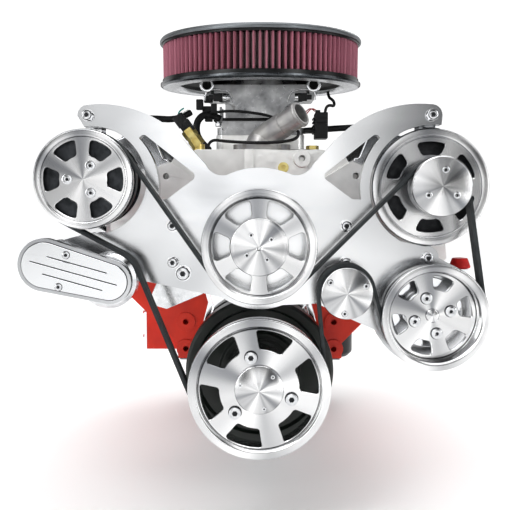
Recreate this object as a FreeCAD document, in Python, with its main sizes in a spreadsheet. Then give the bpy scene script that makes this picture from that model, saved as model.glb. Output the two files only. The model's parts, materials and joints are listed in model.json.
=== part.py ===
import FreeCAD, Part
import math
import os
import Sketcher

V = FreeCAD.Vector
doc = FreeCAD.newDocument("EngineAssembly")

# Driving dimensions, in millimetres and degrees.
# The origin is on the crank axis at the block's rear face. X runs to the right as seen
# from the front, Z is up, and a station is a distance ahead of the rear face.
# A size in quotes is a formula in the sizes above it.
sizes = {
    # Block
    "blockLength": 508.0,
    "bankAngle": 45.0,
    "deckHeight": 229.2,
    "deckOuter": 70.0,
    "deckInner": 75.0,
    "skirtHalfWidth": 122.0,
    "skirtHeight": 23.0,
    "bellFlangeThick": 16.0,
    "bellHalfWidth": 196.0,
    "bellFootDepth": 16.0,
    "bellShoulderX": 150.0,
    "bellShoulderZ": 150.0,
    "bellTopX": 96.0,
    "dowelRadius": 7.9,
    "dowelLength": 10.0,
    "dowelPress": 0.3,
    "dowelHalfSpacing": 179.3,
    "bellBoltRadius": 4.2,
    "bellBoltDepth": 22.0,
    "bellTopBoltX": 61.0,
    "bellTopBoltZ": 184.0,
    "bellSideBoltX": 137.0,
    "bellSideBoltZ": 133.0,
    "bellLowBoltX": 183.0,
    "bellLowBoltZ": 42.0,
    "mountHoleX": 110.0,
    "mountHoleLowZ": 14.6,
    "mountHoleHighZ": 55.0,
    "mountHoleRadius": 4.2,
    "mountHoleDepth": 25.0,
    "mountPadRadius": 14.0,
    "mountPadHeight": 3.0,
    "corePlugRadius": 20.6,
    "corePlugLip": 3.4,
    "corePlugHeight": 2.4,
    "corePlugUp": 190.0,
    "sideBossRadius": 12.5,
    "sideBossHeight": 5.0,
    "sideBossLowUp": 122.0,
    "sideBossHighUp": 150.0,
    "sideBossSpread": 38.0,
    "fuelBossX": 172.0,
    "fuelBossLowZ": 9.0,
    "fuelBossHighZ": 66.0,
    "fuelBossBack": "blockLength - 88",
    "fuelBossFront": "blockLength - 22",
    # Crankcase and crank
    "throwSpacing": "blockLength * 0.22",
    "throwMiddle": "blockLength / 2 + 5",
    "halfStroke": 47.63,
    "mainRadius": 31.1,
    "pinRadius": 26.7,
    "journalFit": 0.06,
    "pinLength": "throwSpacing * 0.43",
    "webThick": "throwSpacing * 0.18",
    "webPinRadius": 32.0,
    "counterweightRadius": 76.0,
    "counterweightAngle": 130.0,
    "bayHalfWidth": 112.0,
    "bayRoofHalf": 70.0,
    "bayRoof": 84.0,
    "crankFlangeRadius": 54.0,
    "crankFlangeThick": 12.0,
    "flywheelBoltCircle": 45.465,
    "flywheelBoltRadius": 5.56,
    "snoutRadius": 15.9,
    "capHalfWidth": 52.0,
    "capDepth": 60.0,
    "capSealGap": 0.3,
    # Cam and timing gear
    "camHeight": 114.8,
    "camJournalRadius": 23.7,
    "camCoreRadius": 16.0,
    "camLobeRadius": 18.0,
    "camLobeRise": 4.5,
    "camLobeLength": 14.0,
    "camSprocketRadius": 52.0,
    "crankSprocketRadius": 24.8,
    "sprocketBack": "blockLength + 4",
    "sprocketThick": 16.0,
    "chainThick": 7.0,
    "chainWidth": 13.0,
    "runningGap": 0.3,
    # Timing cover
    "coverFront": "blockLength + 32",
    "coverTopRadius": 82.0,
    "coverFootX": 92.0,
    "coverFootZ": 24.0,
    "coverShoulderDrop": 30.0,
    "coverSealRadius": 48.0,
    "coverWall": 4.0,
    "coverFlangeThick": 5.0,
    "coverFlangeWide": 9.0,
    "sealRadius": 23.0,
    # Oil pan
    "panRailHalfWidth": 120.0,
    "panRailThick": 3.0,
    "panHalfWidth": 97.0,
    "panShoulderDepth": 50.0,
    "panShallowDepth": 92.0,
    "panShallowHalf": 70.0,
    "sumpDepth": 188.0,
    "sumpHalf": 90.0,
    "sumpFront": "blockLength / 2 - 4",
    "panWall": 3.0,
    "drainRadius": 10.0,
    "drainHeight": 24.0,
    "drainLength": 9.0,
    "panEnd": 6.0,
    # Heads and valve covers
    "headLength": "blockLength - 38",
    "driverHeadFront": "blockLength - 3",
    "passengerHeadFront": "blockLength - 25",
    "intakeFootUp": 10.5,
    "intakeFootIn": 126.6,
    "railInnerUp": 72.8,
    "railInnerIn": 111.0,
    "railWidth": 115.0,
    "railAngle": 23.0,
    "exhaustTopUp": 94.0,
    "exhaustTopOut": 61.5,
    "exhaustFaceUp": 72.0,
    "exhaustFaceOut": 89.0,
    "headFootOut": 86.0,
    "headHoleUp": 62.0,
    "headHoleIn": 92.0,
    "headHoleRadius": 4.7,
    "headHoleDepth": 22.0,
    "portFlangeHigh": 46.0,
    "portFlangeWide": 52.0,
    "portFlangeThick": 8.0,
    "portWide": 34.0,
    "portHigh": 32.0,
    "portDepth": 22.0,
    "plugHexRadius": 9.5,
    "plugHexLength": 16.0,
    "plugBodyRadius": 5.5,
    "plugLength": 46.0,
    "coverRailThick": 7.0,
    "coverHeight": 62.0,
    "coverInset": 7.0,
    "coverChamfer": 16.0,
    "coverEndGap": 5.0,
    # Intake manifold
    "intakeBack": 24.0,
    "intakeFront": "blockLength - 26",
    "intakeFloorRise": 53.93,
    "intakeTopRise": 148.93,
    "intakeFloor": "deckHeight * cos(bankAngle) + intakeFloorRise",
    "intakeTop": "deckHeight * cos(bankAngle) + intakeTopRise",
    "intakeTopHalf": 94.0,
    "intakeFlangeThick": 13.0,
    "ribCentre": -16.0,
    "ribHalfWidth": 7.0,
    "ribHeight": 6.0,
    "bossX": 62.9,
    "bossZ": "intakeTop - 13.7",
    "bossRadius": 13.0,
    "bossHoleRadius": 4.5,
    "plugX": 35.0,
    "plugZ": "intakeTop - 27.2",
    "plugRadius": 8.0,
    # Throttle body, on a pad that leans forward
    "padStation": "blockLength / 2 + 4",
    "padHeight": "intakeTop + 39",
    "padLean": 3.0,
    "riserHalf": 76.0,
    "riserDepth": 42.0,
    "plenumHalf": 56.0,
    "throttleBaseHalfX": 74.0,
    "throttleBaseHalfY": 76.0,
    "throttleBaseThick": 12.0,
    "throttleCoreHalf": 60.0,
    "throttleCoreHalfY": 64.0,
    "throttleDeckHeight": 70.0,
    "throttleDeckTop": 84.0,
    "throttleDeckHalf": 78.0,
    "throttleFaceDepth": 16.0,
    "throttleNeckHalf": 43.0,
    "throttleNeckLow": 34.0,
    "throttleNeckHigh": 48.0,
    "throttleFootHalf": 66.0,
    "boreRadius": 22.0,
    "boreOffset": 24.0,
    "bladeGap": 0.15,
    "bladeThick": 2.0,
    "shaftRadius": 5.0,
    "shaftFit": 0.06,
    "shaftHeight": 25.0,
    "shaftHalfLength": 72.0,
    "leverLength": 26.0,
    "leverThick": 4.0,
    "hornRadius": 65.0,
    "hornWall": 3.5,
    "hornTop": 95.0,
    "fuelRailX": 89.0,
    "fuelRailHeight": 82.0,
    "fuelRailRadius": 10.5,
    "fuelRailFront": 92.0,
    "fuelRailBack": 70.0,
    "fuelRailBore": 7.5,
    # Air cleaner
    "cleanerRadius": 177.8,
    "cleanerHubRadius": 140.0,
    "cleanerRingRadius": 148.0,
    "cleanerPlate": 2.0,
    "cleanerRingHeight": 84.0,
    "cleanerLip": 5.0,
    "filterOuter": 173.0,
    "filterInner": 152.0,
    "filterSealLow": 9.0,
    "filterPleatHeight": 64.0,
    "filterSealTop": 4.0,
    "pleatCount": 60.0,
    "pleatFold": 12.0,
    "lidThick": 4.0,
    "lidRim": 7.0,
    "nutRadius": 14.0,
    "nutHeight": 12.0,
    # Thermostat housing
    "thermoX": 3.0,
    "thermoStation": "intakeFront - 30",
    "thermoFlangeHalf": 44.0,
    "thermoFlangeRadius": 15.0,
    "thermoFlangeThick": 9.0,
    "thermoDomeRadius": 25.0,
    "thermoNeckRadius": 18.0,
    "thermoNeckBore": 15.0,
    "thermoNeckLength": 78.0,
    "thermoNeckLean": 64.0,
    "thermoNeckTurn": -34.0,
    "thermoRootGrow": 1.2,
    "thermoHoseSeat": 34.0,
    # Accessory bracket
    "bracketBack": "blockLength + 108",
    "bracketThick": 16.0,
    "bracketBellyRadius": 84.5,
    "bracketBumpRadius": 99.0,
    "bracketBumpHalf": 42.0,
    "bracketSaddleX": 69.0,
    "bracketSaddleZ": 281.0,
    "bracketSaddleRadius": 24.0,
    "armElbowX": 96.5,
    "armElbowZ": 311.5,
    "armRadius": 147.0,
    "armTopZ": 357.0,
    "armBoltX": 219.0,
    "armBoltZ": 343.0,
    "armTipRadius": 14.0,
    "alternatorCutRadius": 79.5,
    "compressorCutRadius": 69.0,
    "bracketRingRadius": 70.0,
    "lugX": 216.6,
    "lugZ": 160.8,
    "lugRadius": 15.0,
    "lobeRadius": 27.0,
    "bracketHipX": 75.0,
    "bracketHipZ": 101.0,
    "bracketSideX": -146.0,
    "bracketSideZ": 129.5,
    "windowTopX": 151.0,
    "windowTopZ": 322.0,
    "windowInnerX": 79.5,
    "windowInnerZ": 266.0,
    "windowFootX": 119.5,
    "windowFootZ": 236.5,
    "windowCorner": 6.0,
    "pumpBoltX": 111.8,
    "pumpBoltHighZ": 202.3,
    "pumpBoltLowZ": 155.0,
    "faceBoltX": 98.6,
    "faceBoltZ": 140.9,
    "bracketBoltRadius": 4.8,
    "bracketBoltHead": 6.5,
    "bigBoltHead": 9.0,
    "boltHeadHeight": 7.0,
    # Drive line: belt plane and pulley centres
    "beltPlane": "bracketBack + 49",
    "beltWidth": 21.0,
    "beltThick": 4.5,
    "pulleyFront": "beltPlane + 18",
    "rearFlange": 4.0,
    "webPlate": 6.0,
    "webStep": 4.0,
    "crankFlange": 89.5,
    "crankSeat": 82.0,
    "crankRim": 79.0,
    "crankHub": 47.0,
    "crankWindowInner": 50.6,
    "crankWindowOuter": 74.5,
    "crankBoltCircle": 42.0,
    "crankCapRadius": 31.0,
    "pumpHeight": 178.0,
    "pumpFlange": 71.5,
    "pumpSeat": 67.0,
    "pumpRim": 62.4,
    "pumpHub": 33.0,
    "pumpWindowInner": 36.5,
    "pumpWindowOuter": 58.0,
    "pumpCapRadius": 35.7,
    "compressorX": -215.0,
    "compressorZ": 260.6,
    "compressorFlange": 61.0,
    "compressorSeat": 57.0,
    "compressorRim": 52.0,
    "compressorWindowInner": 29.5,
    "compressorWindowOuter": 50.0,
    "alternatorX": 221.0,
    "alternatorZ": 252.0,
    "alternatorCapRadius": 36.7,
    "alternatorSeat": 32.0,
    "fanRadius": 76.0,
    "fanRim": 64.0,
    "fanWindowInner": 42.0,
    "fanWindowOuter": 58.5,
    "fanBack": "bracketBack - 4",
    "fanThick": 16.0,
    "steeringX": 217.4,
    "steeringZ": 90.8,
    "steeringFlange": 66.4,
    "steeringSeat": 61.0,
    "steeringRim": 57.3,
    "steeringHub": 30.0,
    "steeringDish": 20.0,
    "steeringWindowInner": 33.0,
    "steeringWindowOuter": 50.5,
    "idlerX": 108.0,
    "idlerZ": 120.9,
    "idlerSeat": 32.0,
    "tensionX": -187.0,
    "tensionZ": 136.0,
    "tensionSeat": 35.0,
    "pivotX": -261.4,
    "pivotZ": 156.7,
    "coverPlateLeft": 32.5,
    "coverPlateRight": 27.0,
    "coverPlateThick": 10.0,
    "grooveHalfWidth": 1.4,
    "grooveSpacing": 11.0,
    "grooveDepth": 1.6,
    "windowRound": 4.0,
    "windowHalfWide": 19.0,
    "windowHalfSmall": 17.0,
    # Damper
    "damperBack": "coverFront + 10",
    "damperFront": "damperBack + 40",
    "damperRadius": 102.0,
    "damperHub": 40.0,
    "damperRecess": 6.0,
    # Accessories
    "alternatorCase": 70.0,
    "alternatorBack": "bracketBack - 104",
    "alternatorFront": "bracketBack - 8",
    "alternatorShaft": 8.5,
    "alternatorShaftReach": 36.0,
    "earRadius": 14.0,
    "compressorCase": 58.0,
    "compressorBack": "bracketBack - 126",
    "compressorFrontFace": "bracketBack - 10",
    "clutchBack": "beltPlane - 25",
    "clutchRadius": 60.0,
    "compressorNose": 22.0,
    "compressorShaft": 8.0,
    "compressorShaftReach": 46.0,
    "compressorEarZ": 82.0,
    "steeringCase": 52.0,
    "steeringBack": "bracketBack - 86",
    "steeringShaft": 8.0,
    "steeringShaftReach": 30.0,
    "pumpCase": 50.0,
    "pumpCaseBack": "bracketBack - 64",
    "pumpCaseFront": "bracketBack - 10",
    "pumpNose": 27.0,
    "pumpNoseFront": "beltPlane - 29",
    "pumpShaft": 8.0,
    "pumpShaftReach": 20.0,
    "shaftEndRoom": 4.0,
    "pumpLegHalf": 16.0,
    "pumpArmHalf": 20.0,
    "postRadius": 8.0,
    "pulleyCapThick": 7.0,
    # Small parts
    "filterCanRadius": 36.0,
    "filterCanLength": 96.0,
    "filterCanX": 159.5,
    "filterCanStation": 60.0,
    "filterPadHeight": 30.0,
    "distributorStation": 52.0,
    "distributorStem": 24.0,
    "distributorFlange": 34.0,
    "distributorCapRadius": 44.0,
    "distributorCapHeight": 62.0,
    "distributorBaseHeight": 38.0,
    "sensorX": -93.0,
    "sensorStation": "intakeFront - 20",
    "sensorLean": -36.0,
    "sensorHex": 11.0,
    "sensorLength": 30.0,
    "connectorLength": 26.0,
    "connectorHalf": 9.0,
    "sensorZ": "intakeTop + 7",
    "topPlugX": 80.0,
    "topPlugStation": "intakeFront - 24",
    "topPlugRadius": 10.0,
    "plugUp": 30.0,
    "coverPlateWall": 4.0,
    "ventHoseRadius": 5.5,
    "ventStation": "padStation + 32",
    "breatherStation": "padStation + 142",
    "conduitRadius": 6.0,
    "cableRadius": 2.4,
    "moduleX": 104.0,
    "moduleZ": "padHeight + 12",
    "moduleStation": "padStation + 64",
    "moduleHalfX": 11.0,
    "moduleHalfZ": 22.0,
    "moduleHalfY": 16.0,
    "resCapRadius": 19.0,
}


class Dim:
    # A size: its value, and the expression in the sheet's names that gives it.
    def __init__(self, value, text):
        self.value = float(value)
        self.text = text

    def __add__(self, other):
        other = asDim(other)
        return Dim(self.value + other.value, f"({self.text} + {other.text})")

    def __sub__(self, other):
        other = asDim(other)
        return Dim(self.value - other.value, f"({self.text} - {other.text})")

    def __mul__(self, other):
        other = asDim(other)
        return Dim(self.value * other.value, f"({self.text} * {other.text})")

    def __truediv__(self, other):
        other = asDim(other)
        return Dim(self.value / other.value, f"({self.text} / {other.text})")

    def __neg__(self):
        return Dim(-self.value, f"(-1 * {self.text})")

    def __radd__(self, other):
        return asDim(other) + self

    def __rsub__(self, other):
        return asDim(other) - self

    def __rmul__(self, other):
        return asDim(other) * self


def asDim(item):
    if isinstance(item, Dim):
        return item
    return Dim(item, f"({float(item)!r})")


def cosine(angle):
    angle = asDim(angle)
    return Dim(math.cos(math.radians(angle.value)), f"cos({angle.text})")


def sine(angle):
    angle = asDim(angle)
    return Dim(math.sin(math.radians(angle.value)), f"sin({angle.text})")


def root(item):
    return Dim(math.sqrt(item.value), f"sqrt({item.text})")


class Namespace:
    pass


sheet = doc.addObject("Spreadsheet::Sheet", "Sizes")
for row, (name, value) in enumerate(sizes.items(), start=1):
    sheet.set(f"A{row}", name)
    sheet.set(f"B{row}", f"={value}" if isinstance(value, str) else str(value))
    sheet.setAlias(f"B{row}", name)
doc.recompute()
d = Namespace()
for name in sizes:
    sizes[name] = float(sheet.get(name))
    setattr(d, name, Dim(sizes[name], f"Sizes.{name}"))

# Local Z of every front-view piece points to the front of the engine.
frontView = FreeCAD.Rotation(V(1, 0, 0), 90)
upright = FreeCAD.Rotation()
lean = FreeCAD.Rotation(V(1, 0, 0), sizes["padLean"])
nodes = []


def bind(item, path, size):
    size = asDim(size)
    item.setExpression(path, size.text)


def place(item, x, y, z, rotation=upright):
    x, y, z = asDim(x), asDim(y), asDim(z)
    item.Placement = FreeCAD.Placement(V(x.value, y.value, z.value), rotation)
    for axis, size in (("x", x), ("y", y), ("z", z)):
        bind(item, f".Placement.Base.{axis}", size)


def label(item, name):
    item.Label = name
    nodes.append(item)
    return item


def frontBody(name):
    body = doc.addObject("PartDesign::Body", name)
    place(body, 0, 0, 0, frontView)
    return body


def padBody(name):
    # A body whose origin is on the throttle pad of the manifold, leaning with it.
    body = doc.addObject("PartDesign::Body", name)
    place(body, 0, -d.padStation, d.padHeight, lean)
    bind(body, ".Placement.Rotation.Angle", d.padLean)
    return body


def newSketch(body, plane="XY", offset=0):
    sketch = body.newObject("Sketcher::SketchObject", body.Name + "Sketch")
    role = plane + "_Plane"
    support = [item for item in body.Origin.OriginFeatures if item.Role == role][0]
    sketch.AttachmentSupport = (support, [""])
    sketch.MapMode = "FlatFace"
    bind(sketch, ".AttachmentOffset.Base.z", offset)
    return sketch


def pinPoint(sketch, rules, geo, pos, x, y):
    # Two distances from the sketch's origin hold a point.
    rules.append((Sketcher.Constraint("DistanceX", -1, 1, geo, pos, x.value), x.text))
    rules.append((Sketcher.Constraint("DistanceY", -1, 1, geo, pos, y.value), y.text))


def addRules(sketch, rules):
    start = sketch.ConstraintCount
    sketch.addConstraint([rule for rule, text in rules])
    for index, (rule, text) in enumerate(rules):
        if text is not None:
            sketch.setExpression(f"Constraints[{start + index}]", text)


def drawOutline(sketch, points):
    # A closed outline. A point may carry the radius of the arc that starts there: above
    # zero the arc bulges to the right of the way the outline runs, below zero to the left.
    points = [tuple(asDim(part) for part in point) for point in points]
    first = sketch.GeometryCount
    edges = []
    starts = []
    ends = []
    rules = []
    for index, point in enumerate(points):
        after = points[(index + 1) % len(points)]
        a = V(point[0].value, point[1].value)
        b = V(after[0].value, after[1].value)
        if len(point) == 2:
            edges.append(Part.LineSegment(a, b))
            starts.append(1)
            ends.append(2)
            continue
        radius = abs(point[2].value)
        right = point[2].value > 0
        chord = b - a
        normal = V(-chord.y, chord.x) * (1 / chord.Length)
        height = math.sqrt(max(radius * radius - chord.Length * chord.Length / 4, 0))
        if height < 0.001 * radius:
            height = 0
        centre = (a + b) * 0.5 + normal * (height if right else -height)
        begin, finish = (a, b) if right else (b, a)
        low = math.atan2(begin.y - centre.y, begin.x - centre.x)
        high = math.atan2(finish.y - centre.y, finish.x - centre.x)
        edges.append(Part.ArcOfCircle(Part.Circle(centre, V(0, 0, 1), radius), low, high))
        starts.append(1 if right else 2)
        ends.append(2 if right else 1)
        if height > 0:
            bulge = point[2] if right else -point[2]
            rules.append((Sketcher.Constraint("Radius", first + index, radius), bulge.text))
            continue
        # A half circle is held by its centre, halfway between its ends
        axis = 0 if abs(normal.x) > abs(normal.y) else 1
        middle = (point[axis] + after[axis]) / 2
        kind = "DistanceX" if axis == 0 else "DistanceY"
        rules.append((Sketcher.Constraint(kind, -1, 1, first + index, 3, middle.value), middle.text))
    sketch.addGeometry(edges, False)
    for index, point in enumerate(points):
        after = (index + 1) % len(points)
        pinPoint(sketch, rules, first + index, starts[index], point[0], point[1])
        joint = Sketcher.Constraint("Coincident", first + index, ends[index],
                                    first + after, starts[after])
        rules.append((joint, None))
    addRules(sketch, rules)


def drawCircle(sketch, x, y, radius):
    x, y, radius = asDim(x), asDim(y), asDim(radius)
    index = sketch.GeometryCount
    sketch.addGeometry(Part.Circle(V(x.value, y.value), V(0, 0, 1), radius.value), False)
    rules = []
    pinPoint(sketch, rules, index, 3, x, y)
    rules.append((Sketcher.Constraint("Radius", index, radius.value), radius.text))
    addRules(sketch, rules)


def rectangle(x, y, halfX, halfY):
    return [(x - halfX, y - halfY), (x + halfX, y - halfY),
            (x + halfX, y + halfY), (x - halfX, y + halfY)]


def pad(body, shape, back, front, plane="XY"):
    # Material between two stations, or two heights of an upright body.
    sketch = newSketch(body, plane, back)
    shape(sketch)
    feature = body.newObject("PartDesign::Pad", body.Name + "Pad")
    feature.Profile = sketch
    bind(feature, "Length", asDim(front) - back)
    return feature


def pocket(body, shape, front, depth, plane="XY"):
    sketch = newSketch(body, plane, front)
    shape(sketch)
    feature = body.newObject("PartDesign::Pocket", body.Name + "Pocket")
    feature.Profile = sketch
    bind(feature, "Length", depth)
    return feature


def revolve(body, points, cut=False):
    # Points are radius and station. The axis is the body's Z through its origin.
    sketch = newSketch(body, "XZ")
    drawOutline(sketch, points)
    kind = "Groove" if cut else "Revolution"
    feature = body.newObject("PartDesign::" + kind, body.Name + kind)
    feature.Profile = sketch
    feature.ReferenceAxis = (sketch, ["V_Axis"])
    feature.Angle = 360
    return feature


def polar(body, feature, count):
    pattern = body.newObject("PartDesign::PolarPattern", body.Name + "Polar")
    pattern.Originals = [feature]
    pattern.Axis = (feature.Profile[0], ["N_Axis"])
    pattern.Angle = 360
    if isinstance(count, Dim):
        bind(pattern, "Occurrences", count)
    else:
        pattern.Occurrences = count
    body.Tip = pattern
    return pattern


def row(body, feature, length, count):
    pattern = body.newObject("PartDesign::LinearPattern", body.Name + "Row")
    pattern.Originals = [feature]
    pattern.Direction = (feature.Profile[0], ["N_Axis"])
    bind(pattern, "Length", length)
    pattern.Occurrences = count
    body.Tip = pattern
    return pattern


def roundCorners(body, base, corners, radius):
    # Rounds the edges that run along the body's Z through the given corners.
    doc.recompute()
    names = []
    for index, edge in enumerate(base.Shape.Edges, start=1):
        ends = [vertex.Point for vertex in edge.Vertexes]
        if len(ends) != 2 or (ends[0] - ends[1]).cross(V(0, 0, 1)).Length > 0.001:
            continue
        for x, y in corners:
            if math.hypot(ends[0].x - asDim(x).value, ends[0].y - asDim(y).value) < 0.05:
                names.append(f"Edge{index}")
    fillet = body.newObject("PartDesign::Fillet", body.Name + "Fillet")
    fillet.Base = (base, names)
    bind(fillet, "Radius", radius)
    return fillet


def outlineOf(points):
    return lambda sketch: drawOutline(sketch, points)


def circlesOf(*circles):
    def draw(sketch):
        for x, y, radius in circles:
            drawCircle(sketch, x, y, radius)
    return draw


def rod(name, x, z, radius, back, front):
    # A round bar along the engine's length.
    item = doc.addObject("Part::Cylinder", name)
    bind(item, "Radius", radius)
    bind(item, "Height", asDim(front) - back)
    place(item, x, -asDim(back), z, frontView)
    return item


def hexRod(name, x, z, radius, back, front):
    item = doc.addObject("Part::Prism", name)
    item.Polygon = 6
    bind(item, "Circumradius", radius)
    bind(item, "Height", asDim(front) - back)
    place(item, x, -asDim(back), z, frontView)
    return item


def fuse(name, items):
    item = doc.addObject("Part::MultiFuse", name)
    item.Shapes = items
    return item


def cut(name, base, tool):
    item = doc.addObject("Part::Cut", name)
    item.Base = base
    item.Tool = tool
    return item


def bankPoint(side, up, out):
    # A point given along a cylinder bank's axis and outwards from it.
    x = up * sine(d.bankAngle) + out * cosine(d.bankAngle)
    z = up * cosine(d.bankAngle) - out * sine(d.bankAngle)
    return (side * x, z)


def railPoint(side, along, up):
    # A point on a head's valve cover rail, from the rail's inner corner.
    raised = d.deckHeight + d.railInnerUp + along * sine(d.railAngle) + up * cosine(d.railAngle)
    outward = along * cosine(d.railAngle) - up * sine(d.railAngle) - d.railInnerIn
    return bankPoint(side, raised, outward)


def mirrored(half):
    # A half outline on the +X side, bottom to top, closed by its mirror image.
    other = [(-point[0], point[1]) for point in reversed(half)]
    return half + other


bayHalfLength = d.pinLength / 2 + d.webThick
throwSpan = d.throwSpacing * 3
firstThrow = d.throwMiddle - throwSpan / 2
bracketFront = d.bracketBack + d.bracketThick
beltBack = d.beltPlane - d.beltWidth / 2
beltFront = d.beltPlane + d.beltWidth / 2


def makeBlock():
    body = frontBody("blockCasting")
    wide = d.skirtHalfWidth
    half = [(wide, 0), (wide, d.skirtHeight),
            bankPoint(1, d.deckHeight, d.deckOuter), bankPoint(1, d.deckHeight, -d.deckInner)]
    pad(body, outlineOf(mirrored(half)), 0, d.blockLength)
    # Bellhousing flange at the rear
    bell = [(d.panRailHalfWidth + 2, 0), (d.panRailHalfWidth + 2, -d.bellFootDepth),
            (d.bellHalfWidth, -d.bellFootDepth), (d.bellHalfWidth, d.bellLowBoltZ),
            (d.bellShoulderX, d.bellShoulderZ), (d.bellTopX, bankPoint(1, d.deckHeight, -d.deckInner)[1])]
    pad(body, outlineOf(mirrored(bell)), 0, d.bellFlangeThick)
    # Fuel pump boss on the passenger side
    boss = [(-d.fuelBossX, d.fuelBossLowZ), (-d.mountHoleX, d.fuelBossLowZ),
            (-d.mountHoleX, d.fuelBossHighZ), (-d.fuelBossX, d.fuelBossHighZ)]
    pad(body, outlineOf(boss), d.fuelBossBack, d.fuelBossFront)
    # Raised pads round the front mount holes
    holes = [(side * d.mountHoleX, z) for side in (1, -1) for z in (d.mountHoleLowZ, d.mountHoleHighZ)]
    padTop = d.blockLength + d.mountPadHeight
    for x, z in holes:
        pad(body, circlesOf((x, z, d.mountPadRadius)), d.blockLength - 1, padTop)
    pocket(body, circlesOf(*[(x, z, d.mountHoleRadius) for x, z in holes]), padTop, d.mountHoleDepth)
    # Crankcase bays, cam tunnel and main bearing bore
    bay = [(d.bayHalfWidth, -1), (d.bayHalfWidth, d.skirtHeight - 3), (d.bayRoofHalf, d.bayRoof)]
    first = pocket(body, outlineOf(mirrored(bay)), firstThrow + bayHalfLength, bayHalfLength * 2)
    row(body, first, throwSpan, 4)
    pocket(body, circlesOf((0, d.camHeight, d.camJournalRadius + d.journalFit)),
           d.blockLength, d.blockLength)
    pocket(body, circlesOf((0, 0, d.mainRadius + d.journalFit)), d.blockLength, d.blockLength)
    # Oil filter pad at the rear of the driver side
    wing = d.filterCanX + d.filterCanRadius
    shelf = [(d.mountHoleX, 0), (wing, 0), (wing, d.filterPadHeight), (d.mountHoleX, d.filterPadHeight)]
    pad(body, outlineOf(shelf), d.filterCanStation - d.filterCanRadius,
        d.filterCanStation + d.filterCanRadius)
    # Threaded holes and dowel holes of the bellhousing face
    bolts = [(d.bellTopBoltX, d.bellTopBoltZ), (d.bellSideBoltX, d.bellSideBoltZ),
             (d.bellLowBoltX, d.bellLowBoltZ - 20)]
    circles = [(side * x, z, d.bellBoltRadius) for side in (1, -1) for x, z in bolts]
    pocket(body, circlesOf(*circles), d.bellBoltDepth, d.bellBoltDepth)
    dowels = [(side * d.dowelHalfSpacing, 0, d.dowelRadius + d.dowelPress) for side in (1, -1)]
    pocket(body, circlesOf(*dowels), d.bellFlangeThick, d.bellFlangeThick)
    items = [body]
    tools = []
    for side in (1, -1):
        for step in (-1, 0, 1):
            station = d.throwMiddle + d.throwSpacing * step
            items.append(sideDisc("corePlug", side, d.corePlugUp, station, d.corePlugRadius, -1,
                                  d.corePlugHeight + 1))
            tools.append(sideDisc("corePlugCup", side, d.corePlugUp, station,
                                  d.corePlugRadius - d.corePlugLip, 0.4, d.corePlugHeight))
        # Three bosses that an engine mount bolts to
        for up, step in ((d.sideBossLowUp, -1), (d.sideBossLowUp, 1), (d.sideBossHighUp, 0)):
            station = d.throwMiddle + d.throwSpacing / 2 + d.sideBossSpread * step
            items.append(sideDisc("sideBoss", side, up, station, d.sideBossRadius, -1,
                                  d.sideBossHeight + 1))
            tools.append(sideDisc("sideBossHole", side, up, station, d.mountHoleRadius,
                                  d.sideBossHeight - d.mountHoleDepth / 2, d.mountHoleDepth))
    return label(cut("engine_block", fuse("blockWhole", items), fuse("blockHoles", tools)), "engine_block")


def sideDisc(name, side, up, station, radius, begin, length):
    # A disc on the block's sloping side, from a distance out of that face.
    item = doc.addObject("Part::Cylinder", name)
    bind(item, "Radius", radius)
    bind(item, "Height", length)
    x, z = bankPoint(side, up, d.deckOuter + begin)
    place(item, x, -station, z, bankTurn(side))
    bind(item, ".Placement.Rotation.Angle", (90 + d.bankAngle) * side)
    return item


def makeDowels():
    # Each dowel is a little thicker where it is pressed into the block
    items = []
    for side in (1, -1):
        x = side * d.dowelHalfSpacing
        shank = rod("dowelShank", x, 0, d.dowelRadius + d.dowelPress, 0, d.bellFlangeThick)
        tip = rod("dowelTip", x, 0, d.dowelRadius, -d.dowelLength, 1)
        items.append(fuse("dowel", [shank, tip]))
    return items


def makeMainCaps():
    body = frontBody("main_caps")
    thick = d.throwSpacing - bayHalfLength * 2
    lip = 0.3
    shape = [(-d.capHalfWidth, -d.capDepth), (d.capHalfWidth, -d.capDepth),
             (d.capHalfWidth, 0), (-d.capHalfWidth, 0)]
    back = firstThrow - bayHalfLength - thick
    first = pad(body, outlineOf(shape), back + lip, back + thick - lip)
    row(body, first, d.throwSpacing * 4, 5)
    # The end caps reach the block's two faces, where they close the pan's ends
    pad(body, outlineOf(shape), 1, back + thick - lip)
    pad(body, outlineOf(shape), back + d.throwSpacing * 4 + lip, d.blockLength - 1)
    pocket(body, circlesOf((0, 0, d.mainRadius + d.journalFit)), d.blockLength, d.blockLength)
    return label(body, "main_caps")


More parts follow.
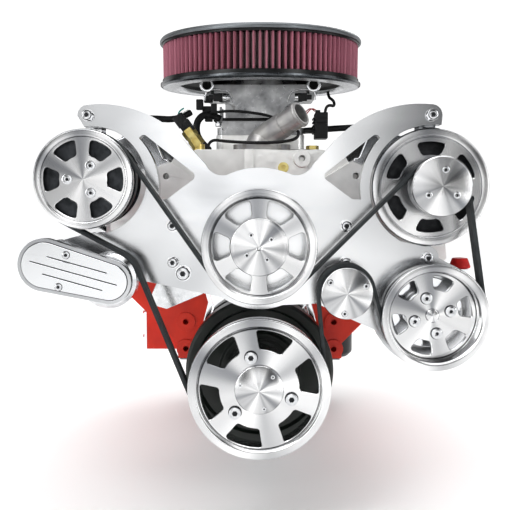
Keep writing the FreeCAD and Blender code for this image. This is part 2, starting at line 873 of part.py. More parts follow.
def makeCrankshaft():
    body = frontBody("crankshaft")
    pad(body, circlesOf((0, 0, d.crankFlangeRadius)), -d.crankFlangeThick, -d.runningGap)
    pad(body, circlesOf((0, 0, d.mainRadius)), -d.runningGap - 1, firstThrow - bayHalfLength)
    turns = ((1, 0), (0, 1), (0, -1), (-1, 0))
    counter = d.counterweightRadius
    foot = (counter * cosine(d.counterweightAngle), counter * sine(d.counterweightAngle))
    for index, (c, s) in enumerate(turns):
        middle = firstThrow + d.throwSpacing * index

        def turned(x, y, *rest, c=c, s=s):
            return (x * c - y * s, x * s + y * c) + rest
        web = [turned(foot[0], foot[1], counter), turned(foot[0], -foot[1]),
               turned(d.halfStroke, -d.webPinRadius, d.webPinRadius),
               turned(d.halfStroke, d.webPinRadius)]
        halfPin = d.pinLength / 2
        pad(body, outlineOf(web), middle - bayHalfLength, middle - halfPin)
        pinX, pinY = turned(d.halfStroke, asDim(0))
        pad(body, circlesOf((pinX, pinY, d.pinRadius)), middle - halfPin, middle + halfPin)
        pad(body, outlineOf(web), middle + halfPin, middle + bayHalfLength)
        if index < 3:
            after = middle + d.throwSpacing - bayHalfLength
            pad(body, circlesOf((0, 0, d.mainRadius)), middle + bayHalfLength, after)
    lastWeb = firstThrow + throwSpan + bayHalfLength
    pad(body, circlesOf((0, 0, d.mainRadius)), lastWeb, d.blockLength)
    pad(body, circlesOf((0, 0, d.snoutRadius)), d.blockLength, d.damperFront)
    circle = circlesOf((d.flywheelBoltCircle, 0, d.flywheelBoltRadius))
    sketch = newSketch(body, "XY", -d.crankFlangeThick)
    circle(sketch)
    holes = body.newObject("PartDesign::Pocket", "flywheelHoles")
    holes.Profile = sketch
    bind(holes, "Length", d.crankFlangeThick)
    holes.Reversed = True
    polar(body, holes, 6)
    return label(body, "crankshaft")


def makeCamshaft():
    body = frontBody("camshaft")
    thick = d.throwSpacing - bayHalfLength * 2
    back = firstThrow - bayHalfLength - thick
    pad(body, circlesOf((0, d.camHeight, d.camCoreRadius)), back, d.sprocketBack + d.sprocketThick)
    for index in range(5):
        begin = back + d.throwSpacing * index
        pad(body, circlesOf((0, d.camHeight, d.camJournalRadius)), begin, begin + thick)
    # Sixteen lobes, two beside each cylinder pair's bulkhead
    lobeTurns = (0, 110, 200, 310, 90, 200, 290, 40, 180, 290, 20, 130, 270, 20, 110, 220)
    for index, turn in enumerate(lobeTurns):
        middle = firstThrow + d.throwSpacing * (index // 4)
        begin = middle + d.camLobeLength * 1.5 * (index % 4 - 2) + 3
        x = d.camLobeRise * cosine(turn)
        z = d.camHeight + d.camLobeRise * sine(turn)
        pad(body, circlesOf((x, z, d.camLobeRadius)), begin, begin + d.camLobeLength)
    return label(body, "camshaft")


def makeTiming():
    front = d.sprocketBack + d.sprocketThick
    chainBack = d.sprocketBack + (d.sprocketThick - d.chainWidth) / 2
    body = frontBody("crank_sprocket")
    pad(body, circlesOf((0, 0, d.crankSprocketRadius)), d.sprocketBack, front)
    pocket(body, circlesOf((0, 0, d.snoutRadius)), front, d.sprocketThick)
    label(body, "crank_sprocket")
    wheel = frontBody("cam_sprocket")
    pad(wheel, circlesOf((0, d.camHeight, d.camSprocketRadius)), d.sprocketBack, front)
    pocket(wheel, circlesOf((0, d.camHeight, d.camCoreRadius)), front, d.sprocketThick)
    pocket(wheel, circlesOf((d.camSprocketRadius * 0.62, d.camHeight, 8)), front, d.sprocketThick)
    label(wheel, "cam_sprocket")
    chain = frontBody("timing_chain")
    small = d.crankSprocketRadius + d.runningGap
    large = d.camSprocketRadius + d.runningGap
    circles = [(asDim(0), asDim(0)), (asDim(0), d.camHeight)]

    def loops(sketch):
        drawBelt(sketch, circles, [small + d.chainThick, large + d.chainThick], [1, 1])
        drawBelt(sketch, circles, [small, large], [1, 1])
    pad(chain, loops, chainBack, chainBack + d.chainWidth)
    return label(chain, "timing_chain")


def drawBelt(sketch, centres, radii, turns):
    # A closed belt line round circles, in order, each turned with +1 as the loop runs
    # counter-clockwise or -1 the other way. Every run is tangent to its two circles.
    count = len(centres)
    arcs = []
    tangents = []
    for index in range(count):
        after = (index + 1) % count
        a = V(centres[index][0].value, centres[index][1].value)
        b = V(centres[after][0].value, centres[after][1].value)
        ra = radii[index].value * turns[index]
        rb = radii[after].value * turns[after]
        along = b - a
        base = math.atan2(along.y, along.x)
        lift = math.asin((ra - rb) / along.Length)
        side = base + lift - math.pi / 2
        out = V(math.cos(side), math.sin(side))
        tangents.append((a + out * ra, b + out * rb))
    first = sketch.GeometryCount
    for index in range(count):
        c = V(centres[index][0].value, centres[index][1].value)
        entry = tangents[index - 1][1] - c
        leave = tangents[index][0] - c
        if turns[index] < 0:
            entry, leave = leave, entry
        low = math.atan2(entry.y, entry.x)
        high = math.atan2(leave.y, leave.x)
        circle = Part.Circle(c, V(0, 0, 1), radii[index].value)
        arcs.append(Part.ArcOfCircle(circle, low, high))
    lines = [Part.LineSegment(start, end) for start, end in tangents]
    sketch.addGeometry(arcs + lines, False)
    rules = []
    for index in range(count):
        pinPoint(sketch, rules, first + index, 3, centres[index][0], centres[index][1])
        rules.append((Sketcher.Constraint("Radius", first + index, radii[index].value),
                      radii[index].text))
        after = (index + 1) % count
        line = first + count + index
        leavePos = 2 if turns[index] > 0 else 1
        entryPos = 1 if turns[after] > 0 else 2
        rules.append((Sketcher.Constraint("Tangent", first + index, leavePos, line, 1), None))
        rules.append((Sketcher.Constraint("Tangent", line, 2, first + after, entryPos), None))
    addRules(sketch, rules)


def makeTimingCover():
    body = frontBody("timing_cover")
    top = d.coverTopRadius
    rise = d.coverShoulderDrop
    rim = d.coverFlangeWide

    def shell(grow):
        radius = top - grow
        seal = d.coverSealRadius - grow
        footX = d.coverFootX - grow
        reach = root(radius * radius - rise * rise)
        return [(seal, 0), (footX, 0), (footX, d.coverFootZ), (reach, d.camHeight - rise, radius),
                (0, d.camHeight + radius, radius), (-reach, d.camHeight - rise),
                (-footX, d.coverFootZ), (-footX, 0), (-seal, 0, seal)]
    pad(body, outlineOf(shell(asDim(0))), d.blockLength, d.blockLength + d.coverFlangeThick)
    pad(body, outlineOf(shell(rim)), d.blockLength, d.coverFront)
    depth = d.coverFront - d.coverWall - d.blockLength
    pocket(body, outlineOf(shell(rim + d.coverWall)), d.coverFront - d.coverWall, depth)
    pocket(body, circlesOf((0, 0, d.sealRadius)), d.coverFront, d.coverFront - d.blockLength)
    return label(body, "timing_cover")


def makeOilPan():
    body = frontBody("oil_pan")
    rail = rectangle(0, -d.panRailThick / 2, d.panRailHalfWidth, d.panRailThick / 2)
    pad(body, outlineOf(rail), 1, d.blockLength - 1)

    def shallow(wall):
        return mirrored([(d.panShallowHalf - wall, wall - d.panShallowDepth),
                         (d.panHalfWidth - wall, wall / 2 - d.panShoulderDepth),
                         (d.panHalfWidth - wall, wall / 3)])

    def deep(wall):
        return mirrored([(d.sumpHalf - wall, wall - d.sumpDepth),
                         (d.panHalfWidth - wall, wall / 2 - d.panShoulderDepth),
                         (d.panHalfWidth - wall, wall / 3)])
    none = asDim(0)
    pad(body, outlineOf(shallow(none)), d.panEnd, d.blockLength - d.panEnd)
    pad(body, outlineOf(deep(none)), d.panEnd, d.sumpFront)
    inner = d.blockLength - d.panEnd - d.panWall
    pocket(body, outlineOf(shallow(d.panWall)), inner, inner - d.panEnd - d.panWall)
    pocket(body, outlineOf(deep(d.panWall)), d.sumpFront - d.panWall,
           d.sumpFront - d.panWall * 2 - d.panEnd)
    # Notches for the end main caps
    halfNotch = d.capHalfWidth + d.capSealGap
    notch = [(-halfNotch, -d.capDepth - d.capSealGap), (halfNotch, -d.capDepth - d.capSealGap),
             (halfNotch, 1), (-halfNotch, 1)]
    pocket(body, outlineOf(notch), d.blockLength, d.blockLength)
    # Drain plug on the sump's front wall
    corners = [onCircle((asDim(0), d.drainHeight - d.sumpDepth), d.drainRadius, 60 * turn)
               for turn in range(6)]
    pad(body, outlineOf(corners), d.sumpFront - 1, d.sumpFront + d.drainLength)
    return label(body, "oil_pan")


def headOutline(side):
    deck = d.deckHeight
    slope = d.railWidth * sine(d.railAngle)
    across = d.railWidth * cosine(d.railAngle)
    points = [bankPoint(side, deck, -d.deckInner),
              bankPoint(side, deck + d.intakeFootUp, -d.intakeFootIn),
              bankPoint(side, deck + d.railInnerUp, -d.railInnerIn),
              bankPoint(side, deck + d.railInnerUp + slope, across - d.railInnerIn),
              bankPoint(side, deck + d.exhaustTopUp, d.exhaustTopOut),
              bankPoint(side, deck + d.exhaustFaceUp, d.exhaustFaceOut),
              bankPoint(side, deck, d.headFootOut)]
    return points


def makeHead(name, side, front):
    body = frontBody(name)
    back = front - d.headLength
    pad(body, outlineOf(headOutline(side)), back, front)
    holeX, holeZ = bankPoint(side, d.deckHeight + d.headHoleUp, -d.headHoleIn)
    pocket(body, circlesOf((holeX, holeZ, d.headHoleRadius)), front, d.headHoleDepth)
    # Exhaust ports, each a raised square flange with its opening
    middle = front - d.headLength / 2
    for step in (-1.5, -0.5, 0.5, 1.5):
        centre = middle + d.throwSpacing * step
        face = [bankPoint(side, d.deckHeight + 14, d.headFootOut - 4),
                bankPoint(side, d.deckHeight + 14, d.exhaustFaceOut + d.portFlangeThick),
                bankPoint(side, d.deckHeight + 14 + d.portFlangeHigh,
                          d.exhaustFaceOut + d.portFlangeThick),
                bankPoint(side, d.deckHeight + 14 + d.portFlangeHigh, d.headFootOut - 4)]
        pad(body, outlineOf(face), centre - d.portFlangeWide / 2, centre + d.portFlangeWide / 2)
        mouth = [bankPoint(side, d.deckHeight + 21, d.exhaustFaceOut + d.portFlangeThick - d.portDepth),
                 bankPoint(side, d.deckHeight + 21, d.exhaustFaceOut + d.portFlangeThick + 1),
                 bankPoint(side, d.deckHeight + 21 + d.portHigh,
                           d.exhaustFaceOut + d.portFlangeThick + 1),
                 bankPoint(side, d.deckHeight + 21 + d.portHigh,
                           d.exhaustFaceOut + d.portFlangeThick - d.portDepth)]
        pocket(body, outlineOf(mouth), centre + d.portWide / 2, d.portWide)
    return label(body, name)


def makeValveCover(name, side, front):
    body = frontBody(name)
    wide = d.railWidth
    inset = d.coverInset
    profile = [railPoint(side, asDim(1), asDim(0)), railPoint(side, wide - 1, asDim(0)),
               railPoint(side, wide - 1, d.coverRailThick),
               railPoint(side, wide - inset, d.coverRailThick),
               railPoint(side, wide - inset, d.coverHeight - d.coverChamfer),
               railPoint(side, wide - inset - d.coverChamfer, d.coverHeight),
               railPoint(side, inset + d.coverChamfer, d.coverHeight),
               railPoint(side, inset, d.coverHeight - d.coverChamfer),
               railPoint(side, inset, d.coverRailThick),
               railPoint(side, asDim(1), d.coverRailThick)]
    back = front - d.headLength
    pad(body, outlineOf(profile), back + d.coverEndGap, front - d.coverEndGap)
    return label(body, name)


def makeIntake():
    body = frontBody("manifoldCasting")
    foot = bankPoint(1, d.deckHeight + d.intakeFootUp, -d.intakeFootIn)
    rail = bankPoint(1, d.deckHeight + d.railInnerUp, -d.railInnerIn)
    deck = bankPoint(1, d.deckHeight, -d.deckInner)
    runX = rail[0] - foot[0]
    runZ = rail[1] - foot[1]
    run = root(runX * runX + runZ * runZ)
    endX = rail[0] - runX / run * 2
    endZ = rail[1] - runZ / run * 2
    topX = endX - runZ / run * d.intakeFlangeThick
    topZ = endZ + runX / run * d.intakeFlangeThick
    half = [(deck[0] - 1.5, d.intakeFloor), foot, (endX, endZ), (topX, topZ),
            (d.intakeTopHalf, d.intakeTop)]
    pad(body, outlineOf(mirrored(half)), d.intakeBack, d.intakeFront)
    rib = [(d.ribCentre - d.ribHalfWidth, d.intakeFloor + 30),
           (d.ribCentre + d.ribHalfWidth, d.intakeFloor + 30),
           (d.ribCentre + d.ribHalfWidth, d.intakeTop), (d.ribCentre - d.ribHalfWidth, d.intakeTop)]
    pad(body, outlineOf(rib), d.intakeFront - 1, d.intakeFront + d.ribHeight)
    pad(body, circlesOf((d.bossX, d.bossZ, d.bossRadius)), d.intakeFront - 1,
        d.intakeFront + d.ribHeight)
    pocket(body, circlesOf((d.bossX, d.bossZ, d.bossHoleRadius)), d.intakeFront + d.ribHeight, 24)
    riser = padBody("manifoldRiser")
    base = pad(riser, outlineOf(rectangle(0, 0, d.riserHalf, d.riserHalf)), -d.riserDepth, 0)
    roundCorners(riser, base, rectangle(0, 0, d.riserHalf, d.riserHalf), 14)
    whole = fuse("manifoldWhole", [body, riser])
    plenum = padBody("manifoldPlenum")
    pad(plenum, outlineOf(rectangle(0, 0, d.plenumHalf, d.plenumHalf)), -d.riserDepth - 14, 0)
    return label(cut("intake_manifold", whole, plenum), "intake_manifold")


def makeThrottleBody():
    body = padBody("throttle_body")
    base = pad(body, outlineOf(rectangle(0, 0, d.throttleBaseHalfX, d.throttleBaseHalfY)),
               0, d.throttleBaseThick)
    roundCorners(body, base, rectangle(0, 0, d.throttleBaseHalfX, d.throttleBaseHalfY), 12)
    pad(body, outlineOf(rectangle(0, 0, d.throttleCoreHalf, d.throttleCoreHalfY)),
        d.throttleBaseThick, d.throttleDeckHeight)
    pad(body, outlineOf(rectangle(0, 0, d.throttleDeckHalf, d.throttleBaseHalfY)),
        d.throttleDeckHeight, d.throttleDeckTop)
    # Ears under the fuel rails
    earTop = d.fuelRailHeight - d.fuelRailRadius
    pad(body, outlineOf(rectangle(0, 0, d.fuelRailX + 5, d.throttleCoreHalfY - 18)),
        earTop - 10, earTop)
    # Waisted face at the front
    face = [(d.throttleFootHalf, d.throttleBaseThick), (d.throttleFootHalf, d.throttleBaseThick + 8),
            (d.throttleNeckHalf, d.throttleNeckLow), (d.throttleNeckHalf, d.throttleNeckHigh),
            (d.throttleDeckHalf, d.throttleDeckHeight - 4), (d.throttleDeckHalf, d.throttleDeckTop)]
    faceBack = d.throttleCoreHalfY - 4
    pad(body, outlineOf(mirrored(face)), faceBack, faceBack + d.throttleFaceDepth, "XZ")
    pad(body, circlesOf((0, 0, d.hornRadius)), d.throttleDeckTop, d.hornTop)
    horn = d.hornRadius - d.hornWall
    pocket(body, circlesOf((0, 0, horn)), d.hornTop, d.hornTop - d.throttleDeckTop + 2)
    bores = [(sx * d.boreOffset, sy * d.boreOffset, d.boreRadius)
             for sx in (1, -1) for sy in (1, -1)]
    pocket(body, circlesOf(*bores), d.hornTop, d.hornTop)
    holes = [(sy * d.boreOffset, d.shaftHeight, d.shaftRadius + d.shaftFit) for sy in (1, -1)]
    pocket(body, circlesOf(*holes), d.shaftHalfLength + 10, d.shaftHalfLength * 2 + 20, "YZ")
    return label(body, "throttle_body")


def leanPlace(item, x, y, z, rotation=upright):
    # Places a piece in the leaning frame of the throttle pad.
    x, y, z = asDim(x), asDim(y), asDim(z)
    worldY = y * cosine(d.padLean) - z * sine(d.padLean) - d.padStation
    worldZ = y * sine(d.padLean) + z * cosine(d.padLean) + d.padHeight
    place(item, x, worldY, worldZ, lean.multiply(rotation))


def makeThrottleShaft(name, side):
    alongX = FreeCAD.Rotation(V(0, 1, 0), 90)
    y = side * d.boreOffset
    shaft = doc.addObject("Part::Cylinder", name + "Shaft")
    bind(shaft, "Radius", d.shaftRadius)
    bind(shaft, "Height", d.shaftHalfLength * 2)
    leanPlace(shaft, -d.shaftHalfLength, y, d.shaftHeight, alongX)
    items = [shaft]
    for across in (1, -1):
        blade = doc.addObject("Part::Cylinder", name + "Blade")
        bind(blade, "Radius", d.boreRadius - d.bladeGap)
        bind(blade, "Height", d.bladeThick)
        leanPlace(blade, across * d.boreOffset, y, d.shaftHeight - d.bladeThick / 2)
        items.append(blade)
    lever = doc.addObject("Part::Box", name + "Lever")
    bind(lever, "Length", d.leverThick)
    bind(lever, "Width", d.shaftRadius * 2)
    bind(lever, "Height", d.leverLength)
    leanPlace(lever, -d.shaftHalfLength, y - d.shaftRadius, d.shaftHeight)
    items.append(lever)
    return label(fuse(name, items), name)


def makeFuelRails():
    alongY = FreeCAD.Rotation(V(1, 0, 0), 90)
    items = []
    for side in (1, -1):
        tube = doc.addObject("Part::Cylinder", "railTube")
        bind(tube, "Radius", d.fuelRailRadius)
        bind(tube, "Height", d.fuelRailFront + d.fuelRailBack)
        leanPlace(tube, side * d.fuelRailX, d.fuelRailBack, d.fuelRailHeight, alongY)
        bore = doc.addObject("Part::Cylinder", "railBore")
        bind(bore, "Radius", d.fuelRailBore)
        bind(bore, "Height", 30)
        leanPlace(bore, side * d.fuelRailX, 20 - d.fuelRailFront, d.fuelRailHeight, alongY)
        items.append(cut("railCut", tube, bore))
    return label(fuse("fuel_rails", items), "fuel_rails")


def makeAirCleaner():
    ring = d.cleanerRingHeight
    plate = d.cleanerPlate
    hub = d.hornTop
    outer = d.cleanerRadius
    inside = d.hornRadius - 6
    base = padBody("air_cleaner_base")
    revolve(base, [(inside, hub), (d.cleanerHubRadius, hub), (d.cleanerRingRadius, ring),
                   (outer - 4, ring), (outer, ring + 3), (outer, ring + d.cleanerLip),
                   (outer - plate, ring + d.cleanerLip), (outer - plate - 2, ring + plate),
                   (d.cleanerRingRadius + plate, ring + plate),
                   (d.cleanerHubRadius + plate, hub + plate), (inside, hub + plate)])
    label(base, "air_cleaner_base")
    sealBack = ring + plate
    pleatLow = sealBack + d.filterSealLow
    pleatTop = pleatLow + d.filterPleatHeight
    lidLow = pleatTop + d.filterSealTop
    seals = padBody("sealLow")
    revolve(seals, [(d.filterInner, sealBack), (d.filterOuter, sealBack),
                    (d.filterOuter, pleatLow), (d.filterInner, pleatLow)])
    upper = padBody("sealTop")
    revolve(upper, [(d.filterInner, pleatTop), (d.filterOuter, pleatTop),
                    (d.filterOuter, lidLow), (d.filterInner, lidLow)])
    label(fuse("filter_seals", [seals, upper]), "filter_seals")
    pleats = padBody("filter_pleats")
    pad(pleats, circlesOf((0, 0, d.filterOuter - 1), (0, 0, d.filterInner + 1)), pleatLow, pleatTop)
    notch = [(d.filterOuter, -2.6), (d.filterOuter, 2.6), (d.filterOuter - d.pleatFold, 0)]
    fold = pocket(pleats, outlineOf(notch), pleatTop, d.filterPleatHeight)
    polar(pleats, fold, d.pleatCount)
    label(pleats, "filter_pleats")
    lid = padBody("air_cleaner_lid")
    rim = lidLow - d.lidRim
    revolve(lid, [(4, lidLow), (d.filterOuter + 1, lidLow), (d.filterOuter + 1, rim),
                  (outer, rim), (outer, lidLow), (outer - 3, lidLow + d.lidThick), (4, lidLow + d.lidThick)])
    label(lid, "air_cleaner_lid")
    nut = padBody("air_cleaner_nut")
    top = lidLow + d.lidThick
    revolve(nut, [(0, top), (d.nutRadius, top), (d.nutRadius, top + d.nutHeight / 2),
                  (d.nutRadius - 4, top + d.nutHeight), (0, top + d.nutHeight)])
    pad(nut, circlesOf((0, 0, 3.5)), d.throttleDeckTop - 2, top)
    label(nut, "air_cleaner_nut")


def makeThermostat():
    x, station = d.thermoX, d.thermoStation
    flange = doc.addObject("PartDesign::Body", "thermoFlange")
    place(flange, x, -station, d.intakeTop)
    half, r = d.thermoFlangeHalf, d.thermoFlangeRadius
    eye = d.thermoDomeRadius + 4
    base = [(-half + r, -r), (-eye * 0.8, -eye * 0.75), (eye * 0.8, -eye * 0.75), (half - r, -r, r),
            (half - r, r), (eye * 0.8, eye * 0.75), (-eye * 0.8, eye * 0.75), (-half + r, r, r)]
    pad(flange, outlineOf(base), 0, d.thermoFlangeThick)
    dome = doc.addObject("Part::Sphere", "thermoDome")
    bind(dome, "Radius", d.thermoDomeRadius)
    dome.Angle1 = 0
    place(dome, x, -station, d.intakeTop + d.thermoFlangeThick - 1)
    aim = FreeCAD.Rotation(V(0, 0, 1), sizes["thermoNeckTurn"])
    aim = aim.multiply(FreeCAD.Rotation(V(0, 1, 0), sizes["thermoNeckLean"]))
    parts = [flange, dome]
    root = d.thermoNeckLength - d.thermoHoseSeat

    def tube(name, radius, start, length):
        item = doc.addObject("Part::Cylinder", name)
        bind(item, "Radius", radius)
        bind(item, "Height", length)
        start = asDim(start)
        flat = start * sine(d.thermoNeckLean)
        place(item, x + flat * cosine(d.thermoNeckTurn),
              flat * sine(d.thermoNeckTurn) - station,
              d.intakeTop + d.thermoFlangeThick + 9 + start * cosine(d.thermoNeckLean), aim)
        return item
    parts.append(tube("thermoNeck", d.thermoNeckRadius, root - 1, d.thermoHoseSeat + 1))
    parts.append(tube("thermoRoot", d.thermoNeckRadius + d.thermoRootGrow, 0, root))
    whole = fuse("thermoWhole", parts)
    bore = tube("thermoBore", d.thermoNeckBore, 18, d.thermoNeckLength)
    return label(cut("thermostat_housing", whole, bore), "thermostat_housing")


def onCircle(centre, radius, angle):
    return (centre[0] + radius * cosine(angle), centre[1] + radius * sine(angle))


def makeBracket():
    body = frontBody("front_bracket")
    alternator = (d.alternatorX, d.alternatorZ)
    compressor = (d.compressorX, d.compressorZ)
    steering = (d.steeringX, d.steeringZ)
    pivot = (d.pivotX, d.pivotZ)
    pump = (asDim(0), d.pumpHeight)
    tip = d.armTipRadius
    bump = root(d.bracketBumpRadius * d.bracketBumpRadius - d.bracketBumpHalf * d.bracketBumpHalf)
    bumpZ = d.pumpHeight + bump
    bellyLeft = onCircle(pump, d.bracketBellyRadius, 234)
    bellyRight = onCircle(pump, d.bracketBellyRadius, 291)
    cutR = d.alternatorCutRadius
    cutC = d.compressorCutRadius
    ring = d.bracketRingRadius
    points = [
        bellyLeft + (d.bracketBellyRadius,),
        bellyRight,
        (d.bracketHipX, d.bracketHipZ),
        onCircle(steering, ring, 201) + (ring,),
        onCircle(steering, ring, 300) + (ring,),
        onCircle(steering, ring, 52),
        (d.lugX + d.lugRadius, d.lugZ, d.lugRadius),
        (d.lugX - 3, d.lugZ + d.lugRadius),
        onCircle(alternator, cutR, 241) + (-cutR,),
        onCircle(alternator, cutR, 82),
        (d.armBoltX + tip, d.armBoltZ, tip),
        (d.armBoltX, d.armTopZ, d.armRadius),
        (d.armElbowX, d.armElbowZ),
        (d.bracketSaddleX, d.bracketSaddleZ, -d.bracketSaddleRadius),
        (d.bracketBumpHalf, bumpZ, d.bracketBumpRadius),
        (-d.bracketBumpHalf, bumpZ, -d.bracketSaddleRadius),
        (-d.bracketSaddleX, d.bracketSaddleZ),
        (-d.armElbowX, d.armElbowZ, d.armRadius),
        (-d.armBoltX, d.armTopZ, tip),
        (-d.armBoltX - tip, d.armBoltZ),
        onCircle(compressor, cutC, 98) + (-cutC,),
        onCircle(compressor, cutC, 0) + (-cutC,),
        onCircle(compressor, cutC, 262),
        onCircle(pivot, d.lobeRadius, 80) + (d.lobeRadius,),
        onCircle(pivot, d.lobeRadius, 255),
        (d.bracketSideX, d.bracketSideZ),
    ]
    pad(body, outlineOf(points), d.bracketBack, bracketFront)
    corners = []
    for side in (1, -1):
        centre = (side * d.alternatorX, d.alternatorZ)
        top = (side * d.windowTopX, d.windowTopZ)
        inner = (side * d.windowInnerX, d.windowInnerZ)
        foot = (side * d.windowFootX, d.windowFootZ)
        rim = d.alternatorCutRadius + 12
        footAngle = 190 if side > 0 else -10
        topAngle = 137 if side > 0 else 43
        arcFoot = onCircle(centre, rim, footAngle)
        arcTop = onCircle(centre, rim, topAngle)
        if side > 0:
            window = [top, inner, foot, arcFoot + (-rim,), arcTop]
        else:
            window = [top, arcTop + (-rim,), arcFoot, foot, inner]
        feature = pocket(body, outlineOf(window), bracketFront, d.bracketThick)
        corners += [top, inner, foot]
    roundCorners(body, feature, corners, d.windowCorner)
    # Holes for the water pump nose and the bolts
    pocket(body, circlesOf((0, d.pumpHeight, d.pumpNose + 1)), bracketFront, d.bracketThick)
    pocket(body, circlesOf(*[(x, z, d.bracketBoltRadius + 0.4) for x, z, head in bracketBolts()]),
           bracketFront, d.bracketThick)
    pocket(body, circlesOf((d.steeringX, d.steeringZ, d.steeringCase - 6)), bracketFront,
           d.bracketThick)
    return label(body, "front_bracket")


def bracketBolts():
    small = d.bracketBoltHead
    return [(d.pumpBoltX, d.pumpBoltHighZ, small), (d.pumpBoltX, d.pumpBoltLowZ, small),
            (-d.pumpBoltX, d.pumpBoltHighZ, small), (-d.pumpBoltX, d.pumpBoltLowZ, small),
            (-d.faceBoltX, d.faceBoltZ, d.bigBoltHead),
            (d.armBoltX, d.armBoltZ, small), (-d.armBoltX, d.armBoltZ, small),
            (d.lugX, d.lugZ, small)]


def makeBracketBolts():
    items = []
    for x, z, head in bracketBolts():
        items.append(rod("boltWasher", x, z, head + 1.5, bracketFront, bracketFront + 2))
        items.append(hexRod("boltHead", x, z, head, bracketFront + 2,
                            bracketFront + 2 + d.boltHeadHeight))
        back = d.bracketBack if head is d.bigBoltHead else d.bracketBack - 8
        items.append(rod("boltShank", x, z, d.bracketBoltRadius, back, bracketFront + 2))
    return label(fuse("bracket_bolts", items), "bracket_bolts")


def annularWindow(centre, inner, outer, start, halfAngle):
    # One window: two arcs about the pulley's axis, joined by straight sides.
    low, high = start - halfAngle, start + halfAngle
    tight = halfAngle - 3
    innerLow = onCircle(centre, inner, start - tight)
    innerHigh = onCircle(centre, inner, start + tight)
    outerLow = onCircle(centre, outer, low)
    outerHigh = onCircle(centre, outer, high)
    return [innerLow, outerLow + (outer,), outerHigh, innerHigh + (-inner,)]


def roundWindows(body, pattern, window):
    # Rounds the corners of six windows set evenly round the body's axis.
    corners = []
    for turn in range(6):
        c, s = cosine(60 * turn), sine(60 * turn)
        corners += [(point[0] * c - point[1] * s, point[0] * s + point[1] * c) for point in window]
    roundCorners(body, pattern, corners, d.windowRound)


def makePulley(name, x, z, shape):
    # A billet pulley: hub, web with windows, and a rim that the belt runs on.
    body = doc.addObject("PartDesign::Body", name)
    place(body, x, 0, z, frontView)
    front = shape["front"]
    web = front - shape["step"]
    webBack = web - d.webPlate
    seat, flange, rim = shape["seat"], shape["flange"], shape["rim"]
    hub, bore, hubBack = shape["hub"], shape["bore"], shape["hubBack"]
    inside = rim - 3
    rearBack = beltBack - 1 - d.rearFlange
    profile = [(bore, hubBack), (hub, hubBack), (hub, webBack), (inside, webBack),
               (inside, rearBack), (flange - 2, rearBack), (flange - 2, beltBack - 1),
               (seat, beltBack - 1), (seat, beltFront + 1), (flange, beltFront + 1),
               (flange, front), (rim, front), (rim, web), (bore, web)]
    revolve(body, profile)
    centre = (asDim(0), asDim(0))
    window = annularWindow(centre, shape["windowInner"], shape["windowOuter"],
                           asDim(shape["start"]), shape["half"])
    hole = pocket(body, outlineOf(window), web, d.webPlate)
    roundWindows(body, polar(body, hole, 6), window)
    return body


def makeCrankPulley():
    shape = {"front": d.pulleyFront, "step": d.webStep, "seat": d.crankSeat, "flange": d.crankFlange,
             "rim": d.crankRim, "hub": d.crankHub, "bore": d.snoutRadius + 4,
             "hubBack": d.damperFront, "windowInner": d.crankWindowInner,
             "windowOuter": d.crankWindowOuter, "start": 74, "half": d.windowHalfWide}
    body = makePulley("crank_pulley", 0, 0, shape)
    label(body, "crank_pulley")
    web = d.pulleyFront - d.webStep
    cap = doc.addObject("PartDesign::Body", "crank_nose_cap")
    place(cap, 0, 0, 0, frontView)
    revolve(cap, [(0, web), (d.crankCapRadius, web), (d.crankCapRadius, web + 3), (0, web + 11)])
    label(cap, "crank_nose_cap")
    items = []
    for turn in (104, 224, 344):
        x, z = onCircle((asDim(0), asDim(0)), d.crankBoltCircle, turn)
        items.append(rod("pulleyBolt", x, z, 7.5, web, web + 6))
    label(fuse("crank_pulley_bolts", items), "crank_pulley_bolts")


def makeDamper():
    body = frontBody("damper")
    back, front = d.damperBack, d.damperFront
    recess = d.damperRecess
    outer = d.damperRadius
    revolve(body, [(d.snoutRadius, back - 4), (d.sealRadius - 0.6, back - 4),
                   (d.sealRadius - 0.6, back), (outer - 2, back), (outer, back + 2),
                   (outer, front - 4), (outer - 4, front), (outer - 14, front),
                   (outer - 17, front - recess), (d.damperHub + 16, front - recess),
                   (d.damperHub + 13, front), (d.snoutRadius, front)])
    return label(body, "damper")


def makePumpPulley():
    shape = {"front": d.pulleyFront, "step": d.webStep, "seat": d.pumpSeat, "flange": d.pumpFlange,
             "rim": d.pumpRim, "hub": d.pumpHub, "bore": d.pumpShaft,
             "hubBack": d.pumpNoseFront + d.runningGap, "windowInner": d.pumpWindowInner,
             "windowOuter": d.pumpWindowOuter, "start": 0, "half": d.windowHalfWide}
    body = makePulley("water_pump_pulley", 0, d.pumpHeight, shape)
    label(body, "water_pump_pulley")
    web = d.pulleyFront - d.webStep
    cap = doc.addObject("PartDesign::Body", "water_pump_cap")
    place(cap, 0, 0, d.pumpHeight, frontView)
    revolve(cap, [(0, web), (d.pumpCapRadius, web), (d.pumpCapRadius, web + d.pulleyCapThick - 1),
                  (d.pumpCapRadius - 1, web + d.pulleyCapThick), (0, web + d.pulleyCapThick + 3)])
    pad(cap, circlesOf((0, 0, d.pumpShaft)), d.pumpCaseFront - d.pumpShaftReach, web)
    label(cap, "water_pump_cap")


